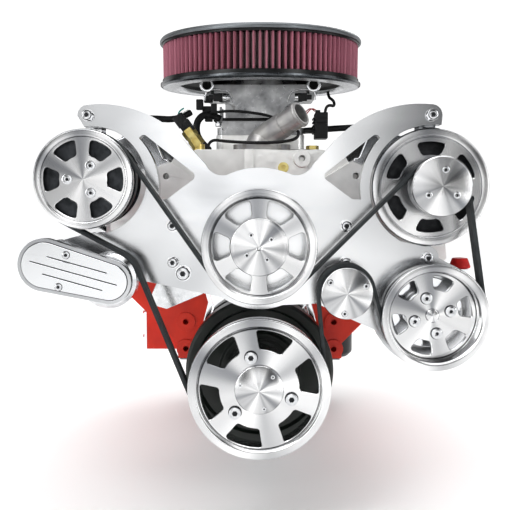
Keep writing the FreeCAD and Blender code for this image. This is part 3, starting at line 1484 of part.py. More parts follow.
def makeWaterPump():
    body = frontBody("water_pump")
    z = d.pumpHeight
    pad(body, circlesOf((0, z, d.pumpCase)), d.pumpCaseBack, d.pumpCaseFront)
    pad(body, circlesOf((0, z, d.pumpNose)), d.pumpCaseFront, d.pumpNoseFront)
    arm = rectangle(0, z, d.pumpBoltX, d.pumpArmHalf)
    pad(body, outlineOf(arm), d.pumpCaseBack, d.pumpCaseFront - 16)
    for side in (1, -1):
        high = d.pumpBoltHighZ
        low = d.pumpBoltLowZ
        reach = d.pumpLegHalf
        x = side * d.pumpBoltX
        leg = [(x - reach, low, reach), (x + reach, low), (x + reach, high, reach), (x - reach, high)]
        pad(body, outlineOf(leg), d.blockLength, d.bracketBack)
    # Inlet neck, low on the passenger side
    inlet = [(x, z - drop) for x, drop in ((-40, 38), (-78, 70), (-126, 90), (-140, 86),
                                           (-146, 70), (-140, 56), (-100, 33))]
    pad(body, outlineOf(inlet), d.pumpCaseBack + 6, d.pumpCaseFront - 10)
    boreBack = d.pumpCaseFront - d.pumpShaftReach - d.shaftEndRoom
    pocket(body, circlesOf((0, z, d.pumpShaft + d.journalFit)), d.pumpNoseFront,
           d.pumpNoseFront - boreBack)
    holes = [(x, hz, d.bracketBoltRadius + 0.4) for x, hz, head in bracketBolts()[:4]]
    pocket(body, circlesOf(*holes), d.bracketBack, 30)
    return label(body, "water_pump")


def makeAlternator():
    x, z = d.alternatorX, d.alternatorZ
    body = frontBody("alternator_case")
    case = d.alternatorCase
    pad(body, circlesOf((x, z, case)), d.alternatorBack + 8, d.alternatorFront)
    pad(body, circlesOf((x, z, case - 12)), d.alternatorBack, d.alternatorBack + 8)
    for ez in (d.armBoltZ, d.lugZ):
        ex = d.armBoltX if ez is d.armBoltZ else d.lugX
        ear = rectangle(ex, (ez + z) / 2, d.earRadius - 3, (ez - z) / 2)
        if ez is d.lugZ:
            ear = rectangle(ex, (ez + z) / 2, d.earRadius - 3, (z - ez) / 2)
        pad(body, outlineOf(ear), d.alternatorFront - 26, d.alternatorFront)
        pad(body, circlesOf((ex, ez, d.earRadius)), d.alternatorFront - 26, d.bracketBack)
        pocket(body, circlesOf((ex, ez, d.bracketBoltRadius + 0.4)), d.bracketBack, 16)
    pocket(body, circlesOf((x, z, d.alternatorShaft + d.journalFit)), d.alternatorFront,
           d.alternatorShaftReach + d.shaftEndRoom)

    def vents(sketch):
        for turn in range(8):
            drawOutline(sketch, annularWindow((x, z), case - 40, case - 20, 45 * turn, asDim(14)))
    pocket(body, vents, d.alternatorBack + 4, 4)
    label(body, "alternator_case")
    fan = doc.addObject("PartDesign::Body", "alternator_fan")
    place(fan, x, 0, z, frontView)
    back = d.fanBack
    front = back + d.fanThick
    shaft = d.alternatorShaft
    revolve(fan, [(shaft, back), (shaft + 8, back), (shaft + 8, front - 3), (d.fanRim, front - 3),
                  (d.fanRim + 2, back), (d.fanRadius, back), (d.fanRadius, front), (shaft, front)])
    centre = (asDim(0), asDim(0))
    window = annularWindow(centre, d.fanWindowInner, d.fanWindowOuter, asDim(30), d.windowHalfWide)
    pattern = polar(fan, pocket(fan, outlineOf(window), front, d.fanThick), 6)
    roundWindows(fan, pattern, window)
    label(fan, "alternator_fan")
    pulley = doc.addObject("PartDesign::Body", "alternator_pulley")
    place(pulley, x, 0, z, frontView)
    seat = d.alternatorSeat
    shaftBack = d.alternatorFront - d.alternatorShaftReach
    revolve(pulley, [(0, shaftBack), (shaft, shaftBack), (shaft, front),
                     (18, front), (18, beltBack - 3), (seat + 3, beltBack - 3),
                     (seat + 3, beltBack - 1), (seat, beltBack - 1), (seat, beltFront + 1),
                     (seat + 3, beltFront + 1), (seat + 3, beltFront + 3), (0, beltFront + 3)])
    label(pulley, "alternator_pulley")
    cap = doc.addObject("PartDesign::Body", "alternator_cap")
    place(cap, x, 0, z, frontView)
    radius = d.alternatorCapRadius
    base = beltFront + 3
    revolve(cap, [(0, base), (radius, base), (radius, base + d.pulleyCapThick),
                  (radius - 1.5, base + d.pulleyCapThick + 1.5), (0, base + d.pulleyCapThick + 3)])
    label(cap, "alternator_cap")


def makeCompressor():
    x, z = d.compressorX, d.compressorZ
    body = frontBody("compressor_body")
    pad(body, circlesOf((x, z, d.compressorCase)), d.compressorBack, d.compressorFrontFace)
    pad(body, circlesOf((x, z, d.compressorNose)), d.compressorFrontFace, d.clutchBack - 2)
    for ez in (d.armBoltZ, z - d.compressorEarZ):
        ex = -d.armBoltX if ez is d.armBoltZ else x
        middle = (ez + z) / 2
        span = (ez - z) / 2 if ez is d.armBoltZ else (z - ez) / 2
        pad(body, outlineOf(rectangle(ex, middle, d.earRadius - 3, span)),
            d.compressorFrontFace - 26, d.compressorFrontFace)
        pad(body, circlesOf((ex, ez, d.earRadius)), d.compressorFrontFace - 26, d.bracketBack)
        pocket(body, circlesOf((ex, ez, d.bracketBoltRadius + 0.4)), d.bracketBack, 16)
    pocket(body, circlesOf((x, z, d.compressorShaft + d.journalFit)), d.clutchBack - 2,
           d.compressorShaftReach + d.shaftEndRoom)
    label(body, "compressor_body")
    wheel = doc.addObject("PartDesign::Body", "compressor_pulley")
    place(wheel, x, 0, z, frontView)
    seat = d.compressorSeat
    groove = beltBack - 1
    shaft = d.compressorShaft
    web = d.pulleyFront - 8
    shaftBack = d.clutchBack - d.compressorShaftReach
    revolve(wheel, [(0, shaftBack), (shaft, shaftBack), (shaft, d.clutchBack),
                    (d.clutchRadius, d.clutchBack), (d.clutchRadius, groove), (seat, groove),
                    (seat, beltFront + 1), (d.compressorRim, beltFront + 1), (d.compressorRim, web - 4),
                    (0, web - 4)])
    label(wheel, "compressor_pulley")
    face = doc.addObject("PartDesign::Body", "compressor_face")
    place(face, x, 0, z, frontView)
    rim = d.compressorRim
    revolve(face, [(0, web - 4), (rim, web - 4), (rim, beltFront + 1),
                   (d.compressorFlange, beltFront + 1), (d.compressorFlange, d.pulleyFront - 2),
                   (d.compressorFlange - 2, d.pulleyFront), (rim, d.pulleyFront),
                   (rim, d.pulleyFront - 3), (0, d.pulleyFront - 3)])
    centre = (asDim(0), asDim(0))
    window = annularWindow(centre, d.compressorWindowInner, d.compressorWindowOuter, asDim(0),
                           d.windowHalfSmall)
    pattern = polar(face, pocket(face, outlineOf(window), d.pulleyFront - 3, 8.5), 6)
    roundWindows(face, pattern, window)
    label(face, "compressor_face")


def makeSteeringPump():
    x, z = d.steeringX, d.steeringZ
    body = frontBody("steering_pump")
    case = d.steeringCase
    pad(body, circlesOf((x, z, case)), d.steeringBack, d.bracketBack)
    pad(body, circlesOf((x, z, case - 6.5)), d.bracketBack, bracketFront + 3)
    # Filler neck that leans out to the reservoir cap
    neck = [(x + 30, z + 20), (x + 52, z + 20), (x + 70, z + 50), (x + 46, z + 50)]
    pad(body, outlineOf(neck), d.steeringBack + 10, d.steeringBack + 50)
    pocket(body, circlesOf((x, z, d.steeringShaft + d.journalFit)), bracketFront + 3,
           d.steeringShaftReach + d.shaftEndRoom + 3)
    label(body, "steering_pump")
    cap = doc.addObject("Part::Cylinder", "pump_reservoir_cap")
    bind(cap, "Radius", d.resCapRadius)
    bind(cap, "Height", 14)
    place(cap, x + 58, -d.steeringBack - 30, z + 50, upright)
    label(cap, "pump_reservoir_cap")
    shape = {"front": d.pulleyFront, "step": d.steeringDish, "seat": d.steeringSeat,
             "flange": d.steeringFlange, "rim": d.steeringRim, "hub": d.steeringHub,
             "bore": d.steeringShaft, "hubBack": bracketFront + 4,
             "windowInner": d.steeringWindowInner, "windowOuter": d.steeringWindowOuter,
             "start": 14, "half": d.windowHalfSmall}
    wheel = makePulley("steering_wheel", x, z, shape)
    web = d.pulleyFront - d.steeringDish
    pad(wheel, circlesOf((0, 0, d.steeringShaft)), bracketFront - d.steeringShaftReach, web + 4)
    label(wheel, "steering_pulley")


def makeIdler():
    body = doc.addObject("PartDesign::Body", "idler_pulley")
    place(body, d.idlerX, 0, d.idlerZ, frontView)
    seat = d.idlerSeat
    post = d.postRadius
    back = beltBack - 2
    front = beltFront + 2
    cap = front + 5
    revolve(body, [(post + d.journalFit, back), (seat - 6, back), (seat, back + 1), (seat, front),
                   (seat, cap), (seat - 1, cap + 1), (0, cap + 4), (0, front),
                   (post + d.journalFit, front)])
    label(body, "idler_pulley")
    return rod("idlerPost", d.idlerX, d.idlerZ, post, bracketFront, front - d.runningGap)


def makeTensioner():
    pivot = (d.pivotX, d.pivotZ)
    wheel = (d.tensionX, d.tensionZ)
    base = frontBody("tensioner_base")
    top = bracketFront + 8
    pad(base, circlesOf(pivot + (d.lobeRadius - 1,)), bracketFront, top)
    pad(base, circlesOf(pivot + (d.postRadius,)), top, d.pulleyFront)
    label(base, "tensioner_base")
    arm = frontBody("tensioner_arm")
    backArm = top + d.runningGap
    spanX = d.tensionX - d.pivotX
    spanZ = d.tensionZ - d.pivotZ
    length = root(spanX * spanX + spanZ * spanZ)
    normalX = -spanZ / length
    normalZ = spanX / length

    def link(left, right, atX, atZ):
        return [(d.pivotX - normalX * left, d.pivotZ - normalZ * left),
                (atX - normalX * right, atZ - normalZ * right, right),
                (atX + normalX * right, atZ + normalZ * right),
                (d.pivotX + normalX * left, d.pivotZ + normalZ * left, left)]
    rear = backArm + 8
    pad(arm, outlineOf(link(d.coverPlateLeft - 6, asDim(14), d.tensionX, d.tensionZ)), backArm, rear)
    pad(arm, circlesOf(wheel + (d.postRadius,)), rear, beltFront + 1)
    plateBack = beltFront + 6
    coverX = d.tensionX + 4.3
    pad(arm, circlesOf(pivot + (d.coverPlateLeft - 9,)), rear, plateBack)
    pad(arm, outlineOf(link(d.coverPlateLeft, d.coverPlateRight, coverX, d.tensionZ)),
        plateBack, plateBack + d.coverPlateThick)
    pad(arm, circlesOf(wheel + (d.postRadius,)), beltFront, plateBack)
    # Three long grooves along the cover plate
    half = d.grooveHalfWidth
    for step, low, high in ((-1, 0.02, 0.98), (0, -0.22, 1.18), (1, 0.02, 0.98)):
        across = d.grooveSpacing * step
        fromX = d.pivotX + spanX * low + normalX * across
        fromZ = d.pivotZ + spanZ * low + normalZ * across
        toX = d.pivotX + spanX * high + normalX * across
        toZ = d.pivotZ + spanZ * high + normalZ * across
        groove = [(fromX - normalX * half, fromZ - normalZ * half),
                  (toX - normalX * half, toZ - normalZ * half, half),
                  (toX + normalX * half, toZ + normalZ * half),
                  (fromX + normalX * half, fromZ + normalZ * half, half)]
        pocket(arm, outlineOf(groove), plateBack + d.coverPlateThick, d.grooveDepth)
    pocket(arm, circlesOf(pivot + (d.postRadius + d.journalFit,)),
           d.pulleyFront + d.runningGap, d.pulleyFront - backArm + d.runningGap)
    label(arm, "tensioner_arm")
    body = doc.addObject("PartDesign::Body", "tensioner_pulley")
    place(body, d.tensionX, 0, d.tensionZ, frontView)
    seat = d.tensionSeat
    bore = d.postRadius + d.journalFit
    revolve(body, [(bore, beltBack - 1.5), (seat - 8, beltBack - 1.5), (seat, beltBack),
                   (seat, beltFront), (seat - 4, beltFront + 4), (bore, beltFront + 4)])
    label(body, "tensioner_pulley")


def makeBelt():
    body = frontBody("serpentine_belt")
    gap = d.runningGap
    thick = d.beltThick
    stops = [(asDim(0), asDim(0), d.crankSeat, False),
             (d.idlerX, d.idlerZ, d.idlerSeat, True),
             (d.steeringX, d.steeringZ, d.steeringSeat, False),
             (d.alternatorX, d.alternatorZ, d.alternatorSeat, False),
             (asDim(0), d.pumpHeight, d.pumpSeat, True),
             (d.compressorX, d.compressorZ, d.compressorSeat, False),
             (d.tensionX, d.tensionZ, d.tensionSeat, True)]
    centres = [(x, z) for x, z, seat, back in stops]
    turns = [-1 if back else 1 for x, z, seat, back in stops]

    def loops(sketch):
        grooved = [seat + gap + (thick if back else 0) for x, z, seat, back in stops]
        smooth = [seat + gap + (0 if back else thick) for x, z, seat, back in stops]
        drawBelt(sketch, centres, smooth, turns)
        drawBelt(sketch, centres, grooved, turns)
    pad(body, loops, beltBack, beltFront)
    return label(body, "serpentine_belt")


def route(station, height, points):
    # A cord's route given from a place on the manifold: across, ahead and up
    return [(x, -station.value - ahead, height.value + up) for x, ahead, up in points]


def fromPad(points):
    return route(d.padStation, d.padHeight, points)


def tubeAlong(name, points, radius):
    # A round tube along straight runs joined by tangent arcs, each as large as its runs allow.
    points = [V(*point) for point in points]
    edges = []
    last = points[0]
    length = 0
    for before, corner, after in zip(points, points[1:], points[2:]):
        into = corner - before
        away = after - corner
        turn = into.getAngle(away)
        reach = 0.45 * min(into.Length, away.Length)
        into.normalize()
        away.normalize()
        begin = corner - into * reach
        finish = corner + away * reach
        bend = reach / math.tan(turn / 2)
        inward = away - into
        inward.normalize()
        middle = corner + inward * (bend / math.cos(turn / 2) - bend)
        edges.append(Part.LineSegment(last, begin).toShape())
        edges.append(Part.Arc(begin, middle, finish).toShape())
        length += (begin - last).Length + bend * turn
        last = finish
        print(name, "bend radius", round(bend, 1))
    edges.append(Part.LineSegment(last, points[-1]).toShape())
    length += (points[-1] - last).Length
    wire = Part.Wire(edges)
    start = points[1] - points[0]
    section = Part.Wire([Part.makeCircle(radius.value, points[0], start)])
    item = doc.addObject("Part::Feature", name)
    item.Shape = wire.makePipeShell([section], True, False)
    expected = math.pi * radius.value ** 2 * length
    print(name, "volume ratio", round(item.Shape.Volume / expected, 4))
    return item


def bankTurn(side):
    # Turns local Z to point straight out of a bank's exhaust face.
    return FreeCAD.Rotation(V(0, 1, 0), side * (90 + sizes["bankAngle"]))


def makeSparkPlugs():
    items = []
    # Where the sloping exhaust face is furthest out under a plug
    slope = (d.exhaustFaceOut - d.headFootOut) / d.exhaustFaceUp
    seat = d.headFootOut + slope * (d.plugUp + d.plugHexRadius)
    for side, front in ((-1, d.passengerHeadFront), (1, d.driverHeadFront)):
        middle = front - d.headLength / 2
        for step in (-1.5, -0.5, 0.5, 1.5):
            station = middle + d.throwSpacing * step + d.portFlangeWide * 0.5 + d.plugHexRadius * 1.6
            for name, kind, radius, begin, length in (
                    ("plugHex", "Part::Prism", d.plugHexRadius, seat, d.plugHexLength),
                    ("plugTip", "Part::Cylinder", d.plugBodyRadius, seat + 1, d.plugLength)):
                item = doc.addObject(kind, name)
                bind(item, "Circumradius" if kind == "Part::Prism" else "Radius", radius)
                bind(item, "Height", length)
                x, z = bankPoint(side, d.deckHeight + d.plugUp, begin)
                place(item, x, -station, z, bankTurn(side))
                bind(item, ".Placement.Rotation.Angle", (90 + d.bankAngle) * side)
                items.append(item)
    return label(fuse("spark_plugs", items), "spark_plugs")


def makeOilFilter():
    body = doc.addObject("PartDesign::Body", "oil_filter")
    place(body, d.filterCanX, -d.filterCanStation, 0)
    radius = d.filterCanRadius
    low = -d.filterCanLength
    revolve(body, [(0, low), (radius - 10, low), (radius, low + 10), (radius, -4),
                   (radius - 3, 0), (0, 0)])
    return label(body, "oil_filter")


def makeDistributor():
    base = doc.addObject("PartDesign::Body", "distributor_base")
    place(base, 0, -d.distributorStation, d.intakeTop)
    height = d.distributorBaseHeight
    stem = d.distributorStem
    revolve(base, [(0, 0), (stem + 8, 0), (stem + 8, 5), (stem, 5), (stem, height - 12),
                   (d.distributorFlange, height - 6), (d.distributorFlange, height), (0, height)])
    label(base, "distributor_base")
    cap = doc.addObject("PartDesign::Body", "distributor_cap")
    place(cap, 0, -d.distributorStation, d.intakeTop + height)
    radius = d.distributorCapRadius
    top = d.distributorCapHeight - 22
    revolve(cap, [(0, 0), (radius, 0), (radius, top - 12), (radius - 8, top), (0, top)])
    pad(cap, circlesOf((0, 0, 8)), top, top + 18)
    tower = pad(cap, circlesOf((radius - 15, 0, 6.5)), top, top + 16)
    polar(cap, tower, 8)
    return label(cap, "distributor_cap")


def makeFuelPumpCover():
    plate = doc.addObject("Part::Box", "coverPlate")
    bind(plate, "Length", d.coverPlateWall)
    bind(plate, "Width", d.fuelBossFront - d.fuelBossBack)
    bind(plate, "Height", d.fuelBossHighZ - d.fuelBossLowZ)
    x = -d.fuelBossX - d.coverPlateWall
    place(plate, x, -d.fuelBossFront, d.fuelBossLowZ)
    items = [plate]
    for z in (d.fuelBossLowZ + 10, d.fuelBossHighZ - 10):
        head = doc.addObject("Part::Prism", "coverBolt")
        bind(head, "Circumradius", 7)
        bind(head, "Height", d.boltHeadHeight)
        place(head, x, -(d.fuelBossFront + d.fuelBossBack) / 2, z,
              FreeCAD.Rotation(V(0, 1, 0), -90))
        items.append(head)
    return label(fuse("fuel_pump_cover", items), "fuel_pump_cover")


def leaningRod(name, kind, radius, start, length, angle, x, station, z):
    # A round or six-sided piece whose axis leans sideways from upright.
    item = doc.addObject(kind, name)
    bind(item, "Circumradius" if kind == "Part::Prism" else "Radius", radius)
    bind(item, "Height", length)
    start = asDim(start)
    place(item, x + start * sine(angle), -station, z + start * cosine(angle),
          FreeCAD.Rotation(V(0, 1, 0), asDim(angle).value))
    bind(item, ".Placement.Rotation.Angle", angle)
    return item


def makeFittings():
    x, station, z = d.sensorX, d.sensorStation, d.sensorZ
    angle = d.sensorLean
    hexRadius = d.sensorHex
    half = d.sensorLength / 2
    lower = leaningRod("sensorLower", "Part::Prism", hexRadius, 0, half - 2, angle, x, station, z)
    ring = leaningRod("sensorRing", "Part::Cylinder", hexRadius - 1, half - 2, 4, angle, x, station, z)
    upper = leaningRod("sensorUpper", "Part::Prism", hexRadius, half + 2, half - 2, angle, x, station, z)
    seat = doc.addObject("Part::Cylinder", "sensorSeat")
    bind(seat, "Radius", hexRadius - 2)
    bind(seat, "Height", z - d.intakeTop + 2)
    place(seat, x, -station, d.intakeTop)
    sensor = fuse("sensorBrass", [lower, ring, upper, seat])
    plug = rod("frontPlug", d.plugX, d.plugZ, d.plugRadius, d.intakeFront, d.intakeFront + 5)
    socket = hexRod("plugSocket", d.plugX, d.plugZ, 4.2, d.intakeFront + 1.5, d.intakeFront + 6)
    front = cut("frontPlugCut", plug, socket)
    top = doc.addObject("Part::Prism", "topPlug")
    bind(top, "Circumradius", d.topPlugRadius)
    bind(top, "Height", 7)
    place(top, d.topPlugX, -d.topPlugStation, d.intakeTop)
    label(fuse("brass_fittings", [sensor, front, top]), "brass_fittings")
    stem = leaningRod("connectorStem", "Part::Cylinder", d.connectorHalf - 1.5, d.sensorLength, 8,
                      angle, x, station, z)
    shell = leaningRod("connectorShell", "Part::Cylinder", d.connectorHalf, d.sensorLength + 8,
                       d.connectorLength - 8, angle, x, station, z)
    return label(fuse("sensor_connector", [stem, shell]), "sensor_connector")


def makeModule():
    x, z, station = d.moduleX, d.moduleZ, d.moduleStation
    items = []
    for name, halfX, halfY, halfZ, atX, atZ in (
            ("moduleCase", d.moduleHalfX, d.moduleHalfY, d.moduleHalfZ, x, z),
            ("moduleArm", (x - d.throttleBaseHalfX) / 2, asDim(9), asDim(3),
             (x + d.throttleBaseHalfX) / 2, d.padHeight + 3)):
        box = doc.addObject("Part::Box", name)
        bind(box, "Length", halfX * 2)
        bind(box, "Width", halfY * 2)
        bind(box, "Height", halfZ * 2)
        place(box, atX - halfX, -station - halfY, atZ - halfZ)
        items.append(box)
    return label(fuse("pressure_sensor", items), "pressure_sensor")


def makeHoses():
    # The crankcase hoses from the two valve covers to the throttle base and the air cleaner
    coverX, coverZ = railPoint(1, d.railWidth / 2, d.coverHeight)
    tilt = d.bankAngle - d.railAngle
    across = math.sin(math.radians(tilt.value))
    upward = math.cos(math.radians(tilt.value))
    items = []
    for side, station in ((1, d.ventStation), (-1, d.breatherStation)):
        grommet = doc.addObject("Part::Cylinder", "grommet")
        bind(grommet, "Radius", d.ventHoseRadius + 4)
        bind(grommet, "Height", 12)
        place(grommet, coverX * side, -station, coverZ,
              FreeCAD.Rotation(V(0, 1, 0), side * tilt.value))
        bind(grommet, ".Placement.Rotation.Angle", tilt * side)
        rise = [(side * (coverX.value + across * out), -station.value, coverZ.value + upward * out)
                for out in (4, 24)]
        if side > 0:
            ahead = sizes["ventStation"] - sizes["padStation"]
            run = [(190, ahead, 13), (150, ahead, 13), (sizes["throttleBaseHalfX"] + 0.3, ahead, 7)]
        else:
            run = [(-206, 124, 18), (-178, 94, 22), (-140, 72, 22), (-120, 60, 36)]
        hose = tubeAlong("hose", rise + fromPad(run), d.ventHoseRadius)
        items.append(fuse("hoseAndGrommet", [hose, grommet]))
    return label(fuse("rubber_hoses", items), "rubber_hoses")


def makeWires():
    conduit = [(-68, 72, 23), (-88, 76, 34), (-106, 86, 22), (-108, 98, -2), (-96, 114, -22),
               (-84, 134, -32.7)]
    cable = [(-88, 77, 31.5), (-60, 106, 34), (-12, 114, 29), (20, 104, 24), (32, 82, 20)]
    # The sensor's cable leaves the conduit, passes ahead of the thermostat and comes back
    ahead = [(-80, -42, 19), (-48, 6, 11), (-6, 19, 8), (34, 18, 9), (58, -8, 17), (60, -48, 35)]
    loop = (fromPad([(-85, 133, -31.5)]) + route(d.intakeFront, d.intakeTop, ahead)
            + fromPad([(46, 134, 4)]))
    items = [tubeAlong("conduit", fromPad(conduit), d.conduitRadius),
             tubeAlong("injectorCable", fromPad(cable), d.cableRadius),
             tubeAlong("sensorCable", loop, d.cableRadius)]
    return label(fuse("wire_harness", items), "wire_harness")


def main():
    makeBlock()
    makeMainCaps()
    makeCrankshaft()
    makeCamshaft()
    makeTiming()
    makeTimingCover()
    makeOilPan()
    for name, side, front in (("passenger", -1, d.passengerHeadFront), ("driver", 1, d.driverHeadFront)):
        makeHead("head_" + name, side, front)
        makeValveCover("valve_cover_" + name, side, front)
    makeIntake()
    makeThrottleBody()
    makeThrottleShaft("throttle_front", -1)
    makeThrottleShaft("throttle_rear", 1)
    makeFuelRails()
    makeAirCleaner()
    makeThermostat()
    makeSparkPlugs()
    makeOilFilter()
    makeDistributor()
    makeFuelPumpCover()
    makeFittings()
    makeModule()
    makeHoses()
    makeWires()
    makeBracket()
    makeBracketBolts()
    makeCrankPulley()
    makeDamper()
    makeWaterPump()
    makePumpPulley()
    makeAlternator()
    makeCompressor()
    makeSteeringPump()
    post = makeIdler()
    makeTensioner()
    makeBelt()
    label(fuse("bracket_standoffs", [post] + makeDowels()), "bracket_standoffs")


def check():
    doc.recompute()
    failed = [item.Name for item in doc.Objects if "Invalid" in item.State or "Error" in item.State]
    if failed:
        raise RuntimeError(f"these objects failed: {failed}")
    for item in nodes:
        if item.Shape.isNull() or not item.Shape.isValid():
            raise RuntimeError(f"{item.Label} has no valid shape")


main()
check()
os.makedirs("parts", exist_ok=True)
for item in nodes:
    item.Shape.exportStep(f"parts/{item.Label}.step")
    print(item.Label, len(item.Shape.Solids), round(item.Shape.Volume / 1000, 1))
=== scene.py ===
import json
from math import acos, atan2, cos, degrees, hypot, pi, radians, sin, sqrt
import bpy
import bmesh
from mathutils import Matrix, Vector
from mathutils.geometry import tessellate_polygon


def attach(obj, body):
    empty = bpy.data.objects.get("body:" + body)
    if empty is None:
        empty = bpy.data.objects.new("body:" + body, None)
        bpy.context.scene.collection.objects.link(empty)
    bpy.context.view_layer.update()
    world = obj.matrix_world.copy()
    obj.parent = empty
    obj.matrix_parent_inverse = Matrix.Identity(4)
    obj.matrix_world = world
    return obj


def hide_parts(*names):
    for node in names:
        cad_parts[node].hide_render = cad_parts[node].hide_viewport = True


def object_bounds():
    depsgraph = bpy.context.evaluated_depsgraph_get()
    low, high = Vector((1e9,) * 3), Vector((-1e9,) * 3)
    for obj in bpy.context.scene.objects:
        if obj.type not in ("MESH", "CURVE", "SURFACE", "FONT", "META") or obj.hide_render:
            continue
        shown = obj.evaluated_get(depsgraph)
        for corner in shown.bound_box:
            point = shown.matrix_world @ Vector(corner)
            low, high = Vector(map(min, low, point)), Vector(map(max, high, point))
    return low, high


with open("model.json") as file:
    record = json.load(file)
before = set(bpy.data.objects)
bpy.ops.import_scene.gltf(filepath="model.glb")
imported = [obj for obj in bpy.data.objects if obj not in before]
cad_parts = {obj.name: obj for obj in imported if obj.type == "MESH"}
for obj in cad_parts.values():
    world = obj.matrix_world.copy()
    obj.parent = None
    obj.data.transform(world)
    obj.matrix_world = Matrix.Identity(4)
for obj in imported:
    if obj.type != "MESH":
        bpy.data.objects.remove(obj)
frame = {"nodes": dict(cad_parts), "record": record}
nodes = frame["nodes"]
cadBox = [list(corner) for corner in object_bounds()]
scene = bpy.context.scene
mm = 0.001
quarter = Matrix.Rotation(radians(90), 4, "X")


def shifted(x, y, z):
    return Matrix.Translation((x * mm, y * mm, z * mm))


# The axes of the drive, and the manifold's pad that carries the throttle and the air cleaner
axes = {"crank": (0, 0), "pump": (0, 178), "steering": (217.4, 90.8), "compressor": (-215, 260.6),
        "alternator": (221, 252), "idler": (108, 120.9), "tensioner": (-187, 136)}
padPlace = shifted(0, -258, 350) @ Matrix.Rotation(radians(3), 4, "X")


def frontPlace(axis):
    # local X to the right, local Y up, local Z towards the camera; places are in millimetres
    x, z = axes[axis]
    return shifted(x, 0, z) @ quarter



# Camera, and how its picture is shown
viewSettings = {"place": (0.004, -1.523, 0.2355), "down": 4.557, "left": 0.623, "lens": 48.7, "sensor": 36,
                "exposure": -0.8}
camera = bpy.data.objects.new("camera", bpy.data.cameras.new("camera"))
scene.collection.objects.link(camera)
camera.data.lens = viewSettings["lens"]
camera.data.sensor_width = viewSettings["sensor"]
camera.location = viewSettings["place"]
camera.rotation_euler = (radians(90 - viewSettings["down"]), 0, radians(viewSettings["left"]))
scene.camera = camera
scene.view_settings.view_transform = "Standard"
scene.view_settings.look = "None"
scene.view_settings.exposure = viewSettings["exposure"]


def hexColor(text):
    parts = [int(text[start:start + 2], 16) / 255 for start in (0, 2, 4)]
    return [part / 12.92 if part <= 0.04045 else ((part + 0.055) / 1.055) ** 2.4 for part in parts] + [1]


def addNode(tree, kind, inputs={}, **settings):
    node = tree.nodes.new(kind)
    for name, value in settings.items():
        setattr(node, name, value)
    for name, value in inputs.items():
        if isinstance(value, bpy.types.NodeSocket):
            tree.links.new(value, node.inputs[name])
        else:
            node.inputs[name].default_value = value
    return node


def maths(tree, operation, *values):
    return addNode(tree, "ShaderNodeMath", dict(enumerate(values)), operation=operation).outputs[0]


def geometry(tree, kind, inputs={}, **settings):
    return addNode(tree, "GeometryNode" + kind, inputs, **settings).outputs[0]


def vectors(tree, operation, *values):
    node = addNode(tree, "ShaderNodeVectorMath", dict(enumerate(values)), operation=operation)
    return node.outputs["Value" if operation == "LENGTH" else 0]


def spread(tree, value, fromLow, fromHigh, toLow=0, toHigh=1, **settings):
    # carries a value from one range over to another
    limits = {0: value, 1: fromLow, 2: fromHigh, 3: toLow, 4: toHigh}
    return addNode(tree, "ShaderNodeMapRange", limits, **settings).outputs[0]


def mixed(tree, factor, first, second):
    # a colour between two; each is a hex text or a socket
    colors = [hexColor(color) if isinstance(color, str) else color for color in (first, second)]
    mix = addNode(tree, "ShaderNodeMix", {0: factor, 6: colors[0], 7: colors[1]}, data_type="RGBA")
    return mix.outputs[2]


class Surface:
    # a material in the making, with its tree, its shader and the place on the piece
    def __init__(self, name, color, metallic, roughness, **extra):
        self.material = bpy.data.materials.new(name)
        self.material.use_nodes = True
        self.tree = self.material.node_tree
        self.shader = self.tree.nodes["Principled BSDF"]
        values = {"Base Color": hexColor(color), "Metallic": metallic, "Roughness": roughness, **extra}
        for key, value in values.items():
            self.shader.inputs[key.replace("_", " ")].default_value = value
        self.place = addNode(self.tree, "ShaderNodeTexCoord").outputs["Object"]

    def link(self, output, label):
        self.tree.links.new(output, self.shader.inputs[label])

    def noise(self, place, scale, detail):
        values = {"Vector": place, "Scale": scale, "Detail": detail}
        return addNode(self.tree, "ShaderNodeTexNoise", values).outputs[0]

    def mottle(self, place, scale, low, high, detail=3):
        # a value that drifts between low and high over the surface
        return spread(self.tree, self.noise(place, scale, detail), 0.3, 0.7, low, high)

    def cloud(self, scale, first, second, detail=3):
        # the colour drifts from the first to the second
        drift = self.mottle(self.place, scale, 0, 1, detail)
        self.link(mixed(self.tree, drift, first, second), "Base Color")
        return self

    def haze(self, scale, low, high):
        # the roughness drifts from low to high
        self.link(self.mottle(self.place, scale, low, high), "Roughness")
        return self

    def relief(self, height, strength, distance):
        values = {"Height": height, "Strength": strength, "Distance": distance}
        self.link(addNode(self.tree, "ShaderNodeBump", values).outputs[0], "Normal")

    def grain(self, scale, detail, strength, distance):
        self.relief(self.noise(self.place, scale, detail), strength, distance)
        return self


# Turned 6061 aluminium: a lathe leaves fine rings, so light spreads into bright and dark sectors across the
# face; the base colour also has painted sectors of highlight and shade round the axis
def turnedAluminium(name, axis, paintedWedgeScale=1.32):
    made = Surface(name, "FFFFFF", 1, 0.2, Anisotropic=0.8)
    tree = made.tree
    x, z = axes[axis]
    flat = vectors(tree, "MULTIPLY", vectors(tree, "SUBTRACT", made.place, (x * mm, 0, z * mm)), (1, 0, 1))
    around = vectors(tree, "CROSS_PRODUCT", flat, (0, 1, 0))
    made.link(vectors(tree, "NORMALIZE", around), "Tangent")
    # painted highlight and shade: the base colour turns between grey and white in sectors round the axis
    paintedWedges = made.mottle(vectors(tree, "NORMALIZE", flat), paintedWedgeScale, 0, 1, 0.6)
    made.link(mixed(tree, paintedWedges, "808286", "FFFFFF"), "Base Color")
    lathe = {"W": vectors(tree, "LENGTH", flat), "Scale": 900, "Detail": 2}
    rings = addNode(tree, "ShaderNodeTexNoise", lathe, noise_dimensions="1D")
    made.relief(rings.outputs[0], 0.25, 0.00006)
    return made.material
